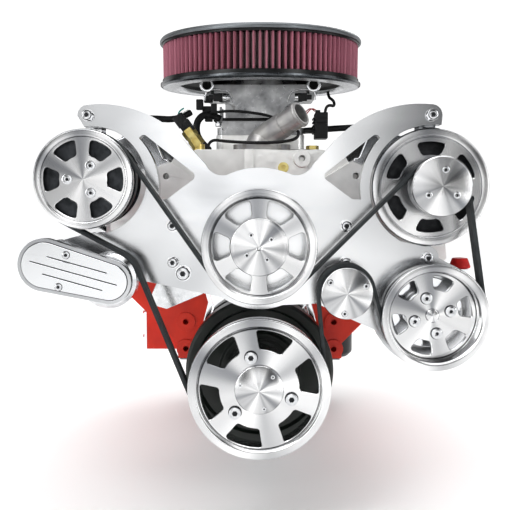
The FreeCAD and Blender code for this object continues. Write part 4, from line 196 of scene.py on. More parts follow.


# Milled and brushed billet plate: broad soft streaks with a faint waviness from polishing; the base colour
# drifts in broad clouds between grey and white as painted reflection
def billetPlate(name, tone, shade):
    made = Surface(name, tone, 1, 0.25)
    stretched = addNode(made.tree, "ShaderNodeMapping", {"Vector": made.place, "Scale": (0.3, 1, 1)})
    made.link(made.mottle(stretched.outputs[0], 60, 0.17, 0.22, 1), "Roughness")
    # painted reflection: broad clouds of grey and white in the base colour
    return made.cloud(5, shade, tone, 2).grain(7, 0, 0.4, 0.0015).material


# Sand-cast aluminium: pale, matt, with the grain of the mould
def castAluminium(name, tone, shade, roughness, grain=1100):
    made = Surface(name, tone, 0.75, roughness).cloud(35, shade, tone)
    return made.haze(160, roughness - 0.08, roughness + 0.08).grain(grain, 4, 0.3, 0.00025).material


# Show chrome: a mirror with the faint haze of handling
def chromePlate(name):
    return Surface(name, "F2F3F5", 1, 0.07).haze(60, 0.05, 0.12).material


# Engine enamel over cast iron: thick gloss paint that softens the sand texture
def engineEnamel(name):
    made = Surface(name, "B4200D", 0, 0.45, Coat_Weight=0.12, Coat_Roughness=0.2, Specular_IOR_Level=0.25)
    return made.cloud(22, "C0200B", "E02E10").grain(380, 5, 0.35, 0.0006).material


# Moulded rubber: near black, with a dry bloom that greys it where it is worn
def mouldedRubber(name, tone, shade, roughness):
    made = Surface(name, tone, 0, roughness, Specular_IOR_Level=0.25)
    return made.cloud(90, tone, shade).grain(1500, 2, 0.2, 0.0001).material


# Glass-filled nylon, as connectors are moulded in
def mouldedNylon(name, tone, shade):
    made = Surface(name, tone, 0, 0.42, Specular_IOR_Level=0.25)
    return made.cloud(200, tone, shade).haze(700, 0.36, 0.5).material


# Satin black enamel on machined steel
def satinBlack(name, tone, shade):
    made = Surface(name, tone, 0, 0.4, Coat_Weight=0.15, Coat_Roughness=0.2, Specular_IOR_Level=0.3)
    return made.cloud(40, tone, shade).haze(60, 0.36, 0.46).material


# Plain metals for fasteners and inner pieces
def plainMetal(name, tone, shade, roughness):
    made = Surface(name, tone, 1, roughness).cloud(120, shade, tone)
    return made.haze(500, roughness - 0.05, roughness + 0.07).material


# Oiled cotton gauze under a wire screen: crimson ridges with a diamond weave; painted shade turns the pleats'
# valleys near black and a painted highlight lightens their crests
def oiledGauze(name):
    gauze = {"axis": 0.258, "weaveRadius": 0.172, "weave": 0.0022, "paintedValleyShade": (0.1600, 0.1710),
             "paintedCrestHighlight": (0.1702, 0.1723)}
    made = Surface(name, "7E2038", 0, 0.55, Sheen_Weight=0.25)
    tree = made.tree
    centred = addNode(tree, "ShaderNodeMapping", {"Vector": made.place, "Location": (0, gauze["axis"], 0)})
    parts = addNode(tree, "ShaderNodeSeparateXYZ", {0: centred.outputs[0]}).outputs
    around = maths(tree, "MULTIPLY", maths(tree, "ARCTAN2", parts[1], parts[0]), gauze["weaveRadius"])
    lines = []
    for sign in (1, -1):
        lean = maths(tree, "MULTIPLY_ADD", parts[2], sign, around)
        wave = maths(tree, "SINE", maths(tree, "MULTIPLY", lean, 2 * pi / gauze["weave"]))
        lines.append(spread(tree, wave, 0.55, 1.0))
    screen = maths(tree, "MAXIMUM", *lines)
    cloth = mixed(tree, made.mottle(made.place, 500, 0, 1), "560818", "700F24")
    wired = mixed(tree, screen, cloth, "8A5262")
    out = vectors(tree, "LENGTH", vectors(tree, "MULTIPLY", centred.outputs[0], (1, 1, 0)))
    # painted shade in the pleat valleys and a painted highlight on the crests, by distance from the axis
    paintedValleyDark = mixed(tree, spread(tree, out, *gauze["paintedValleyShade"]), "040103", wired)
    made.link(mixed(tree, spread(tree, out, *gauze["paintedCrestHighlight"], 0, 0.65), paintedValleyDark, "C07488"), "Base Color")
    made.relief(screen, 0.5, 0.0004)
    return made.material


# The finishes by the function that makes them, each with its name, its two tones and its roughness
finishes = {
    billetPlate: {
        "billet": ("brushedBilletPlate", "F7F8F9", "A6A8AB"),
        "panel": ("polishedCoverPlate", "FAFAFB", "E6E8EA"),
    },
    castAluminium: {
        "manifold": ("sandCastManifold", "F4F4F2", "E2E2E0", 0.36),
        "throttle": ("dieCastThrottle", "BCBDBE", "747577", 0.33),
        "neck": ("sandCastNeck", "BEBDBA", "8C8B8E", 0.4, 900),
        "head": ("sandCastHead", "F4F4F3", "E2E2E1", 0.5),
    },
    chromePlate: {"chrome": ("showChrome",)},
    engineEnamel: {"enamel": ("orangeRedEnamel",)},
    oiledGauze: {"gauze": ("oiledFilterGauze",)},
    mouldedRubber: {
        "belt": ("ribbedBeltRubber", "1B1E20", "2A2E30", 0.5),
        "rubber": ("hoseRubber", "08090A", "121314", 0.45),
        "seal": ("filterEndUrethane", "060607", "0D0E0F", 0.3),
        "loom": ("wireLoomTape", "060607", "101112", 0.6),
        # flat black used as painted shade: the tray's dish, the fuel rail bores and under the throttle flange
        "paintedShadeBlack": ("flatBlackPaintedShade", "040405", "080909", 0.7),
    },
    mouldedNylon: {
        "nylon": ("blackNylon", "090A0B", "121315"),
        "teal": ("tealWireInsulation", "2F7F76", "256B64"),
        "red": ("redWireInsulation", "B3201C", "961612"),
        "white": ("whiteWireInsulation", "E9E9E6", "DCDCD8"),
        "redNylon": ("redAnodisedCap", "C8201B", "A51512"),
    },
    satinBlack: {
        "damper": ("satinBlackDamper", "020604", "051009"),
        "can": ("blackEnamelCan", "101214", "17191B"),
    },
    plainMetal: {
        "polishedCast": ("polishedCasting", "EDEEF0", "D2D4D6", 0.16),
        "coverCast": ("polishedRockerCover", "C4C6C9", "B2B4B7", 0.2),
        "panChrome": ("platedPan", "94969A", "86888C", 0.12),
        # dark grey for painted shade: screw seat rings and sockets, the disc behind the alternator fan, the
        # plate round the tensioner panel
        "gap": ("shadedSeat", "3A3B3D", "262729", 0.5),
        "darkCase": ("satinCase", "B4B6B9", "9EA0A3", 0.2),
        "clutch": ("blackenedClutch", "3E4043", "242628", 0.42),
        "steel": ("machinedSteel", "C4C5C7", "9C9EA0", 0.3),
        "bright": ("brightZincScrew", "E4E5E7", "BFC1C4", 0.18),
        "iron": ("castIron", "6A6864", "4A4946", 0.5),
        "brass": ("turnedBrass", "E2D48E", "C4AC60", 0.34),
        "lid": ("brushedLid", "74787B", "6A6E71", 0.42),
        "tray": ("satinPlatedTray", "D6D7D9", "BABCBF", 0.3),
        # the tray's plating again, darkened: painted shade on its lip
        "trayLip": ("trayLipPaintedShade", "56595C", "3E4144", 0.22),
    },
}
finish = {key: make(*values) for make, group in finishes.items() for key, values in group.items()}


def addPiece(name, mesh, *materials):
    # each material is itself or the name of a finish
    piece = bpy.data.objects.new(name, mesh)
    scene.collection.objects.link(piece)
    for material in materials:
        mesh.materials.append(finish.get(material, material))
    return piece


# A pale floor that glows a little, so that it meets the backdrop without a line
floorSettings = {"half": 9, "below": 0.0005, "glow": 0.32}
floorMade = Surface("paleFloor", "F4F4F4", 0, 0.75, Emission_Color=hexColor("FFFFFF"),
                    Emission_Strength=floorSettings["glow"])
floorMade.cloud(3, "F2F2F2", "F6F6F6")
floorHalf, floorLevel = floorSettings["half"], cadBox[0][2] - floorSettings["below"]
floorMesh = bpy.data.meshes.new("floor")
floorMesh.from_pydata([(x * floorHalf, y * floorHalf, floorLevel)
                       for x, y in ((-1, -1), (1, -1), (1, 1), (-1, 1))], [], [(0, 1, 2, 3)])
floor = addPiece("floor", floorMesh, floorMade.material)

# A white backdrop for the camera; the metals see a dim room with large soft boxes in it
room = {"backdrop": 2.0, "dim": 0.02}
# each box: turn and half width, rise and half height, soft edge, all in degrees, and its light
softBoxes = {
    "middle": (-3, 11, 4, 16, 10, 3.1),
    "left": (-44, 9, 8, 24, 6, 10),
    "right": (40, 7, 6, 24, 6, 10),
    "farLeft": (-86, 10, 16, 20, 6, 3),
    "farRight": (82, 10, 16, 20, 6, 2.8),
    "rearLeft": (-138, 16, 14, 26, 8, 1.7),
    "rearRight": (138, 16, 14, 26, 8, 1.7),
    "top": (0, 400, 80, 22, 8, 4.2),
}
scene.world = bpy.data.worlds.new("studio")
scene.world.use_nodes = True
sky = scene.world.node_tree
sky.nodes.clear()
direction = addNode(sky, "ShaderNodeTexCoord").outputs["Generated"]
sides = addNode(sky, "ShaderNodeSeparateXYZ", {0: vectors(sky, "NORMALIZE", direction)}).outputs
turnHere = maths(sky, "ARCTAN2", sides[0], maths(sky, "MULTIPLY", sides[1], -1))
riseHere = maths(sky, "ARCSINE", sides[2])
glow = room["dim"]
for turn, wide, rise, tall, edge, light in softBoxes.values():
    share = light
    for here, middle, half in ((turnHere, turn, wide), (riseHere, rise, tall)):
        off = maths(sky, "ABSOLUTE", maths(sky, "SUBTRACT", here, radians(middle)))
        fade = spread(sky, off, radians(half - edge), radians(half + edge), 1, 0,
                      interpolation_type="SMOOTHSTEP")
        share = maths(sky, "MULTIPLY", fade, share)
    glow = maths(sky, "ADD", share, glow)
white = (1, 1, 1, 1)
roomLight = addNode(sky, "ShaderNodeBackground", {"Color": white, "Strength": glow})
backdrop = addNode(sky, "ShaderNodeBackground", {"Color": white, "Strength": room["backdrop"]})
seen = addNode(sky, "ShaderNodeLightPath").outputs["Is Camera Ray"]
shown = addNode(sky, "ShaderNodeMixShader", {0: seen, 1: roomLight.outputs[0], 2: backdrop.outputs[0]})
addNode(sky, "ShaderNodeOutputWorld", {0: shown.outputs[0]})

# each lamp: its place, what it faces, its size and its power
lamps = {
    "keyLamp": ((-1.3, -2.0, 2.2), (0, -0.4, 0.2), 0.9, 30),
    "rearLamp": ((0.9, 1.4, 2.0), (0, -0.3, 0.2), 1.2, 30),
}
for lampName, (stand, aim, size, power) in lamps.items():
    lampData = bpy.data.lights.new(lampName, "AREA")
    lampData.size = size
    lampData.energy = power
    lamp = bpy.data.objects.new(lampName, lampData)
    lamp.location = stand
    lamp.rotation_euler = (Vector(aim) - Vector(stand)).to_track_quat("-Z", "Y").to_euler()
    scene.collection.objects.link(lamp)
print("stage and finishes ready")


def settle(piece, body, slot, *standsFor):
    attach(piece, body)
    if standsFor:
        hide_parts(*standsFor)
    return piece


def shownMesh(piece):
    graph = bpy.context.evaluated_depsgraph_get()
    return bpy.data.meshes.new_from_object(piece.evaluated_get(graph))


def applied(piece):
    # the piece with its modifiers worked into its mesh
    mesh = shownMesh(piece)
    piece.modifiers.clear()
    piece.data = mesh
    return piece


def smoothed(mesh, angle):
    mesh.polygons.foreach_set("use_smooth", [True] * len(mesh.polygons))
    mesh.set_sharp_from_angle(angle=radians(angle))
    mesh.update()
    return mesh


def beveled(piece, width, segments, **settings):
    # rounds the edges of the piece by a width in millimetres
    edge = piece.modifiers.new("edge", "BEVEL")
    edge.width = width * mm
    edge.segments = segments
    edge.limit_method = "ANGLE"
    for key, value in settings.items():
        setattr(edge, key, value)
    return applied(piece)


def fromForm(name, form):
    mesh = bpy.data.meshes.new(name)
    form.to_mesh(mesh)
    form.free()
    return mesh


def formed(name, form, place, material, angle=30):
    # the form as a piece, with its faces turned outward
    bmesh.ops.recalc_face_normals(form, faces=form.faces)
    mesh = fromForm(name, form)
    mesh.transform(place)
    return addPiece(name, smoothed(mesh, angle), material)


def onlyFinish(mesh, material):
    mesh.materials.clear()
    mesh.materials.append(material)


def tube(name, route, radius, roundness, steps):
    # a round curve along a route in millimetres
    line = bpy.data.curves.new(name, "CURVE")
    line.dimensions = "3D"
    line.bevel_depth = radius * mm
    line.bevel_resolution = roundness
    line.resolution_u = steps
    line.use_fill_caps = True
    spline = line.splines.new("NURBS")
    spline.points.add(len(route) - 1)
    for knot, point in zip(spline.points, route):
        knot.co = (point[0] * mm, point[1] * mm, point[2] * mm, 1)
    spline.order_u = 3
    spline.use_endpoint_u = True
    return line


# Free cords; each route is the one that its solid follows
cordFacts = {
    "throttleConduit": {
        "radius": 6, "length": 0.1225, "stiffness": "stiff", "finish": "loom",
        "route": [(-68, -330, 373), (-88, -334, 384), (-106, -344, 372), (-108, -356, 348),
                  (-96, -372, 328), (-84, -392, 317.3)]},
    "injectorCable": {
        "radius": 2.4, "length": 0.1437, "stiffness": "medium", "finish": "loom",
        "route": [(-88, -335, 381.5), (-60, -364, 384), (-12, -372, 379), (20, -362, 374), (32, -340, 370)]},
    "sensorCable": {
        "radius": 2.4, "length": 0.309, "stiffness": "medium", "finish": "loom",
        "route": [(-85, -391, 318.5), (-80, -440, 330), (-48, -488, 322), (-6, -501, 319),
                  (34, -500, 320), (58, -474, 328), (60, -434, 346), (46, -392, 354)]},
    "driverHose": {
        "radius": 5.5, "length": 0.1619, "stiffness": "stiff", "finish": "rubber",
        "route": [(213.1, -290, 331.6), (220.6, -290, 350.15), (190, -290, 363), (150, -290, 363),
                  (74.3, -290, 357)]},
    "passengerHose": {
        "radius": 5.5, "length": 0.1554, "stiffness": "stiff", "finish": "rubber",
        "route": [(-213.1, -400, 331.6), (-220.6, -400, 350.15), (-206, -382, 368), (-178, -352, 372),
                  (-140, -330, 372), (-120, -318, 386)]},
}
cordNodes = {"loom": "wire_harness", "rubber": "rubber_hoses"}
for cordName, facts in cordFacts.items():
    line = tube(cordName, facts["route"], facts["radius"], 5, 14)
    cord = addPiece(cordName, line, facts["finish"])
    settle(cord, "engine", "rubber", cordNodes[facts["finish"]])
print("cords ready")


def dressedCopy(nodeName, width, material):
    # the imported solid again, with the small edge radius that machining or casting leaves
    form = bmesh.new()
    form.from_mesh(nodes[nodeName].data)
    bmesh.ops.remove_doubles(form, verts=form.verts, dist=0.02 * mm)
    bmesh.ops.dissolve_limit(form, angle_limit=radians(0.6), verts=form.verts, edges=form.edges)
    piece = addPiece(nodeName + "Dressed", smoothed(fromForm(nodeName + "Dressed", form), 28))
    beveled(piece, width, 2, angle_limit=radians(35), miter_outer="MITER_ARC", harden_normals=True)
    onlyFinish(piece.data, material)
    return piece


def softened(profile, size, closed):
    # the profile with each corner cut by a small radius
    count = len(profile)
    result = []
    for index, corner in enumerate(profile):
        if not closed and index in (0, count - 1):
            result.append(corner)
            continue
        here = Vector(corner)
        before = Vector(profile[index - 1]) - here
        after = Vector(profile[(index + 1) % count]) - here
        reach = min(size, before.length * 0.45, after.length * 0.45)
        first = here + before.normalized() * reach
        last = here + after.normalized() * reach
        middle = (first + last) * 0.25 + here * 0.5
        result += [tuple(first), tuple(middle), tuple(last)]
    return result


def turned(name, profile, place, material, steps=144, edge=0.5):
    # a profile of (radius, height) swept round the local Z axis; one that ends on the axis stays open
    closed = profile[-1][0] > 0
    form = bmesh.new()
    rings = []
    for radius, height in softened(profile, edge, closed):
        turns = [2 * pi * step / steps for step in range(steps if radius >= 0.0001 else 1)]
        places = [(radius * mm * cos(turn), radius * mm * sin(turn), height * mm) for turn in turns]
        rings.append([form.verts.new(place) for place in places])
    pairs = list(zip(rings, rings[1:]))
    if closed:
        pairs.append((rings[-1], rings[0]))
    for low, high in pairs:
        for step in range(steps):
            after = (step + 1) % steps
            corners = list(dict.fromkeys((low[step % len(low)], low[after % len(low)],
                                          high[after % len(high)], high[step % len(high)])))
            if len(corners) > 2:
                form.faces.new(corners)
    return formed(name, form, place, material)


def arc(x, z, radius, start, end, steps=16):
    # points on an arc, angles in degrees
    turns = [radians(start + (end - start) * step / steps) for step in range(steps + 1)]
    return [(x + radius * cos(turn), z + radius * sin(turn)) for turn in turns]


def roundedLoop(corners, steps=6):
    # a closed outline from points and the size of each one's rounding, zero for none
    result = []
    for index, (point, size) in enumerate(corners):
        if size == 0:
            result.append(point)
            continue
        here = Vector(point)
        first = here + (Vector(corners[index - 1][0]) - here).normalized() * size
        last = here + (Vector(corners[(index + 1) % len(corners)][0]) - here).normalized() * size
        for share in [step / steps for step in range(steps + 1)]:
            rest = 1 - share
            result.append(tuple(first * rest ** 2 + here * 2 * share * rest + last * share ** 2))
    return result


def moved(loop, amount):
    # the loop shifted sideways by an amount, to its left as it runs
    result = []
    for index, point in enumerate(loop):
        before, here, after = Vector(loop[index - 1]), Vector(point), Vector(loop[(index + 1) % len(loop)])
        along = (here - before).normalized() + (after - here).normalized()
        if along.length < 0.001:
            along = after - here
        along.normalize()
        result.append((here.x - along.y * amount, here.y + along.x * amount))
    return result


def area(loop):
    return sum(loop[index - 1][0] * loop[index][1] - loop[index][0] * loop[index - 1][1]
               for index in range(len(loop))) / 2


def plate(name, loops, back, front, place, material, edge=0.5):
    # a flat plate with openings: the first loop is its outline, and each edge has a chamfer
    loops = [loop if (area(loop) > 0) == (index == 0) else loop[::-1] for index, loop in enumerate(loops)]
    inner = [moved(loop, edge) for loop in loops]
    form = bmesh.new()
    rows = []
    for shapes, height in ((inner, back), (loops, back + edge), (loops, front - edge), (inner, front)):
        rows.append([[form.verts.new((x * mm, y * mm, height * mm)) for x, y in loop] for loop in shapes])
    for low, high in zip(rows, rows[1:]):
        for lowLoop, highLoop in zip(low, high):
            for index in range(len(lowLoop)):
                form.faces.new((lowLoop[index - 1], lowLoop[index], highLoop[index], highLoop[index - 1]))
    triangles = tessellate_polygon([[Vector((x, y, 0)) for x, y in loop] for loop in inner])
    for row in (rows[0], rows[3]):
        flat = [vert for loop in row for vert in loop]
        for triangle in triangles:
            form.faces.new([flat[index] for index in triangle])
    return formed(name, form, place, material)


def joined(name, parts):
    # several pieces of one body as one mesh that keeps their finishes
    form = bmesh.new()
    materials = []
    for part in parts:
        start = len(form.faces)
        form.from_mesh(part.data)
        form.faces.ensure_lookup_table()
        slots = []
        for material in part.data.materials:
            if material not in materials:
                materials.append(material)
            slots.append(materials.index(material))
        for face in form.faces[start:]:
            face.material_index = slots[min(face.material_index, len(slots) - 1)]
    mesh = fromForm(name, form)
    for part in parts:
        bpy.data.objects.remove(part)
    return addPiece(name, mesh, *materials)


def startTree(name, inputs, output):
    # a node group with its sockets, and the outputs of its input node
    tree = bpy.data.node_groups.new(name, "GeometryNodeTree")
    for label, kind in inputs.items():
        tree.interface.new_socket(label, in_out="INPUT", socket_type="NodeSocket" + kind)
    tree.interface.new_socket(output, in_out="OUTPUT", socket_type="NodeSocketGeometry")
    return tree, addNode(tree, "NodeGroupInput").outputs


def grown(piece, tree, values):
    # works a node group into the piece
    maker = piece.modifiers.new("maker", "NODES")
    maker.node_group = tree
    for item in tree.interface.items_tree:
        if item.name in values:
            maker[item.identifier] = values[item.name]
    return applied(piece)


def screwTree(name):
    # socket head screws set at every point of a mesh
    kinds = {"Places": "Geometry", "Head Radius": "Float", "Head Height": "Float", "Socket Radius": "Float",
             "Finish": "Material", "Painted Shade Finish": "Material"}
    tree, given = startTree(name, kinds, "Screws")

    def disc(sides, radius, depth):
        return geometry(tree, "MeshCylinder", {"Vertices": sides, "Radius": radius, "Depth": depth})

    def lifted(form, height):
        lift = addNode(tree, "ShaderNodeCombineXYZ", {"Z": height}).outputs[0]
        return geometry(tree, "Transform", {"Geometry": form, "Translation": lift})

    def together(forms):
        both = addNode(tree, "GeometryNodeJoinGeometry")
        for form in forms:
            tree.links.new(form, both.inputs[0])
        return both.outputs[0]

    head = disc(32, given["Head Radius"], given["Head Height"])
    socket = disc(6, given["Socket Radius"], given["Head Height"])
    rise = maths(tree, "MULTIPLY", given["Head Height"], 0.5)
    cut = geometry(tree, "MeshBoolean", {0: head, 1: lifted(socket, rise)}, operation="DIFFERENCE")
    # a dark ring under each head as painted shadow, and a dark disc of painted shade at the bottom of its
    # socket
    seat = disc(32, maths(tree, "MULTIPLY", given["Head Radius"], 1.14), 0.0003)
    bottom = disc(6, maths(tree, "MULTIPLY", given["Socket Radius"], 0.98), 0.0004)
    shaded = together([lifted(seat, maths(tree, "MULTIPLY", rise, -0.97)), bottom])
    sets = []
    for form, label in ((cut, "Finish"), (shaded, "Painted Shade Finish")):
        copies = geometry(tree, "InstanceOnPoints", {"Points": given["Places"], "Instance": form})
        real = geometry(tree, "RealizeInstances", {0: copies})
        sets.append(geometry(tree, "SetMaterial", {"Geometry": real, "Material": given[label]}))
    addNode(tree, "NodeGroupOutput", {0: together(sets)})
    return tree


socketScrews = screwTree("socketScrews")


def screws(name, places, height, headRadius, headHeight, socketRadius, place):
    # places are (x, y) in the local plane; the heads stand on it at the height given
    # every head gets a dark ring of painted shadow under it and painted shade in its socket
    mesh = bpy.data.meshes.new(name)
    mesh.from_pydata([(x * mm, y * mm, (height + headHeight / 2) * mm) for x, y in places], [], [])
    piece = grown(addPiece(name, mesh), socketScrews, {
        "Head Radius": headRadius * mm, "Head Height": headHeight * mm, "Socket Radius": socketRadius * mm,
        "Finish": finish["bright"], "Painted Shade Finish": finish["gap"]})
    beveled(piece, min(headRadius, headHeight) * 0.16, 2)
    piece.data.transform(place)
    smoothed(piece.data, 30)
    return piece


def onCircle(radius, angles):
    return [(radius * cos(radians(angle)), radius * sin(radians(angle))) for angle in angles]


def sectorWindow(inner, outer, middle, half, corner):
    # an opening between two arcs about the axis, with rounded corners; its inner arc is shorter by a taper
    taper = 3
    outerArc = arc(0, 0, outer, middle - half, middle + half, 14)
    points = outerArc + arc(0, 0, inner, middle + half - taper, middle - half + taper, 10)
    keep = [0, len(outerArc) - 1, len(outerArc), len(points) - 1]
    trimmed = []
    for index, point in enumerate(points):
        near = min((Vector(point) - Vector(points[end])).length for end in keep)
        if index in keep or near > corner:
            trimmed.append((point, corner if index in keep else 0))
    return roundedLoop(trimmed)


def sixWindows(radius, inner, outer, start, half, corner):
    # the outline of a web and its six openings
    windows = [sectorWindow(inner, outer, start + 60 * turn, half, corner) for turn in range(6)]
    return [arc(0, 0, radius, 0, 360, 120)[:-1]] + windows


def billetWheel(name, axis, size):
    # a pulley cut from bar: rim with the belt's seat, web with windows, hub
    place = frontPlace(axis)
    metal = turnedAluminium(name + "Turned", axis)
    back, seatBack, seatFront = 650, 653.5, 676.5
    front, seat, flange, rim, hub = (size[key] for key in ("front", "seat", "flange", "rim", "hub"))
    web = front - size["step"]
    webBack = web - size["thick"]
    bore = rim - 3
    rimProfile = [(bore, webBack), (bore, back), (flange - 2, back), (flange - 2, seatBack),
                  (seat, seatBack), (seat, seatFront), (flange, seatFront), (flange, front - 1.2),
                  (flange - 1.2, front), (rim + size["lip"], front), (rim - 1, front - 2.5), (rim - 2, web)]
    hubProfile = [(0, size["hubBack"]), (hub, size["hubBack"]), (hub, webBack + 1), (0, webBack + 1)]
    loops = sixWindows(bore + 0.2, *(size[key] for key in ("inner", "outer", "start", "half", "corner")))
    parts = [turned(name + "Rim", rimProfile, place, metal, 160),
             plate(name + "Web", loops, webBack, web, place, metal, 0.7),
             turned(name + "Hub", hubProfile, place, metal, 96)]
    return parts, metal, place


def cappedFace(name, facts):
    # a turned face with its screws
    place = frontPlace(facts["axis"])
    metal = turnedAluminium(facts["finish"], facts["axis"], facts["paintedWedgeScale"])
    parts = [turned(name + "Face", facts["profile"], place, metal, 128),
             screws(name + "Screws", onCircle(facts["circle"], facts["angles"]), *facts["heads"], place)]
    settle(joined(name, parts), facts["body"], "polished_aluminium", facts["node"])


# Crank pulley
crank = {"front": 683, "step": 4, "thick": 6, "seat": 82, "flange": 89.5, "rim": 79, "lip": 1.5,
         "inner": 50.6, "outer": 74.5, "start": 74, "half": 19, "corner": 4, "hub": 47, "hubBack": 590.2}
parts, metal, place = billetWheel("crankPulley", "crank", crank)
settle(joined("crankPulleyBillet", parts), "crank", "brushed_aluminium", "crank_pulley")
nose = turned("crankNoseCone", [(0, 679.2), (31, 679.2), (31, 681.5), (30, 682.8), (0, 690)], place,
              turnedAluminium("crankNoseTurned", "crank", 1.92), 128)
settle(nose, "crank", "polished_aluminium", "crank_nose_cap")
settle(screws("crankPulleyScrews", onCircle(42, (104, 224, 344)), 679, 7.5, 6, 3.6, place),
       "crank", "chrome", "crank_pulley_bolts")
settle(screws("crankNoseScrews", onCircle(24, (165, 285, 45)), 683.2, 2.6, 1.8, 1.3, place),
       "crank", "chrome")

# Water pump pulley
pump = {"front": 683, "step": 4, "thick": 6, "seat": 67, "flange": 71.5, "rim": 62.4, "lip": 1.5,
        "inner": 36.5, "outer": 58, "start": 0, "half": 19, "corner": 5, "hub": 33, "hubBack": 636.4}
parts, metal, place = billetWheel("pumpPulley", "pump", pump)
settle(joined("pumpPulleyBillet", parts), "pump_rotor", "brushed_aluminium", "water_pump_pulley")
cappedFace("pumpCap", {
    "axis": "pump", "finish": "pumpCapTurned", "paintedWedgeScale": 2.04, "body": "pump_rotor", "node": "water_pump_cap",
    "profile": [(0, 679.2), (35.7, 679.2), (35.7, 684), (34.4, 685.4), (31, 685.4), (4.4, 687.6),
                (3.4, 687.0), (0, 686.6)],
    "circle": 17.8, "angles": (33, 123, 213, 303), "heads": (685.7, 3.2, 2.0, 1.6)})
print("crank and pump pulleys ready")

# Steering pulley
steering = {"front": 683, "step": 20, "thick": 6, "seat": 61, "flange": 66.4, "rim": 57.3, "lip": 2,
            "inner": 33, "outer": 50.5, "start": 14, "half": 17, "corner": 5, "hub": 30, "hubBack": 636.4}
parts, metal, place = billetWheel("steeringPulley", "steering", steering)
parts.append(turned("steeringCone", [(0, 662), (9, 662), (9, 664), (7.5, 665.4), (0, 666)], place, metal, 64))
parts.append(screws("steeringScrews", onCircle(23.3, (14, 110, 198, 284)), 663, 6.8, 3.4, 2.4, place))
settle(joined("steeringPulleyBillet", parts), "steering_rotor", "brushed_aluminium", "steering_pulley")

# The face of the compressor's wheel
place = frontPlace("compressor")
metal = turnedAluminium("compressorTurned", "compressor")
parts = [turned("clutchRing", [(52, 671), (61, 671), (61, 681), (59.5, 683), (53.5, 683), (52, 681.5)],
                place, metal),
         plate("clutchFace", sixWindows(52.2, 29.5, 49, 0, 19, 5), 675.6, 680.4, place, metal, 0.8),
         screws("clutchScrews", onCircle(19, (60, 180, 300)), 680.2, 6.2, 1.8, 2.2, place)]
settle(joined("compressorFace", parts), "compressor_rotor", "brushed_aluminium", "compressor_face")

# Alternator fan and cap, and the shade behind the fan
place = frontPlace("alternator")
metal = turnedAluminium("alternatorFanTurned", "alternator")
parts = [turned("fanRim", [(63, 612.2), (76, 612.2), (76, 626), (74.5, 628), (66, 628), (64, 626)],
                place, metal),
         plate("fanWeb", sixWindows(64.5, 42, 58.5, 30, 19, 5), 620, 626.5, place, metal, 0.8),
         turned("fanHub", [(9, 612.2), (17, 612.2), (17, 622), (9, 622)], place, metal, 64)]
settle(turned("alternatorShade", [(18, 608.2), (66, 608.2), (66, 609), (18, 609)], place, "gap", 96,
              0.2), "engine", "dark_steel")
settle(joined("alternatorFan", parts), "alternator_rotor", "polished_aluminium", "alternator_fan")
cappedFace("alternatorCap", {
    "axis": "alternator", "finish": "alternatorCapTurned", "paintedWedgeScale": 1.8, "body": "alternator_rotor",
    "node": "alternator_cap",
    "profile": [(0, 678.7), (36.7, 678.7), (36.7, 685.5), (35, 687.2), (0, 688.3)],
    "circle": 20, "angles": (82, 212, 328), "heads": (687.2, 4.2, 1.4, 2.0)})

# Idler with its cap
cappedFace("idlerTurned", {
    "axis": "idler", "finish": "idlerCapTurned", "paintedWedgeScale": 1.92, "body": "idler", "node": "idler_pulley",
    "profile": [(8.2, 652.7), (26, 652.7), (32, 653.6), (32, 682), (31, 683.2), (0, 686.3)],
    "circle": 24.8, "angles": (23, 146, 263), "heads": (683.8, 3.6, 1.6, 1.7)})
print("accessory pulleys ready")


# Serpentine belt: the same tangent path as the solid, with six ribs on its inner side
def beltPath(stops, step=4):
    result = []
    count = len(stops)
    angles = []
    for index in range(count):
        ax, az, ar, turnA = stops[index]
        bx, bz, br, turnB = stops[(index + 1) % count]
        offset = turnB * br - turnA * ar
        gap = hypot(bx - ax, bz - az)
        angles.append(atan2(bz - az, bx - ax) - atan2(offset, sqrt(gap ** 2 - offset ** 2)))
    for index, (x, z, radius, turn) in enumerate(stops):
        start = angles[index - 1]
        sweep = (angles[index] - start) * turn % (2 * pi)
        steps = max(2, round(degrees(sweep) / step))
        for part in range(steps + 1):
            way = start + turn * sweep * part / steps
            side = Vector((-sin(way), cos(way)))
            result.append((Vector((x, z)) - side * turn * radius, side))
    return result


beltSettings = {"back": -2.2, "near": 675, "far": 655, "firstRib": 1.67, "pitch": 3.33,
                "rib": ((0.4, 1.6), (2.2, 0.7), (2.2, -0.7), (0.4, -1.6))}
beltTurns = {"crank": (84.55, 1), "idler": (34.55, -1), "steering": (63.55, 1), "alternator": (34.55, 1),
             "pump": (69.55, -1), "compressor": (59.55, 1), "tensioner": (37.55, -1)}
section = [(beltSettings["back"], beltSettings["far"]), (beltSettings["back"], beltSettings["near"])]
for rib in range(6):
    middle = beltSettings["near"] - beltSettings["firstRib"] - rib * beltSettings["pitch"]
    section += [(across, middle + half) for across, half in beltSettings["rib"]]
beltForm = bmesh.new()
beltRows = []
for point, side in beltPath([(*axes[name], *turn) for name, turn in beltTurns.items()]):
    places = [((point.x + side.x * across) * mm, -station * mm, (point.y + side.y * across) * mm)
              for across, station in section]
    beltRows.append([beltForm.verts.new(place) for place in places])
for index, row in enumerate(beltRows):
    before = beltRows[index - 1]
    for corner in range(len(section)):
        beltForm.faces.new((before[corner - 1], before[corner], row[corner], row[corner - 1]))
settle(formed("serpentineBelt", beltForm, Matrix.Identity(4), "belt", 25), "engine", "rubber",
       "serpentine_belt")
print("belt ready")


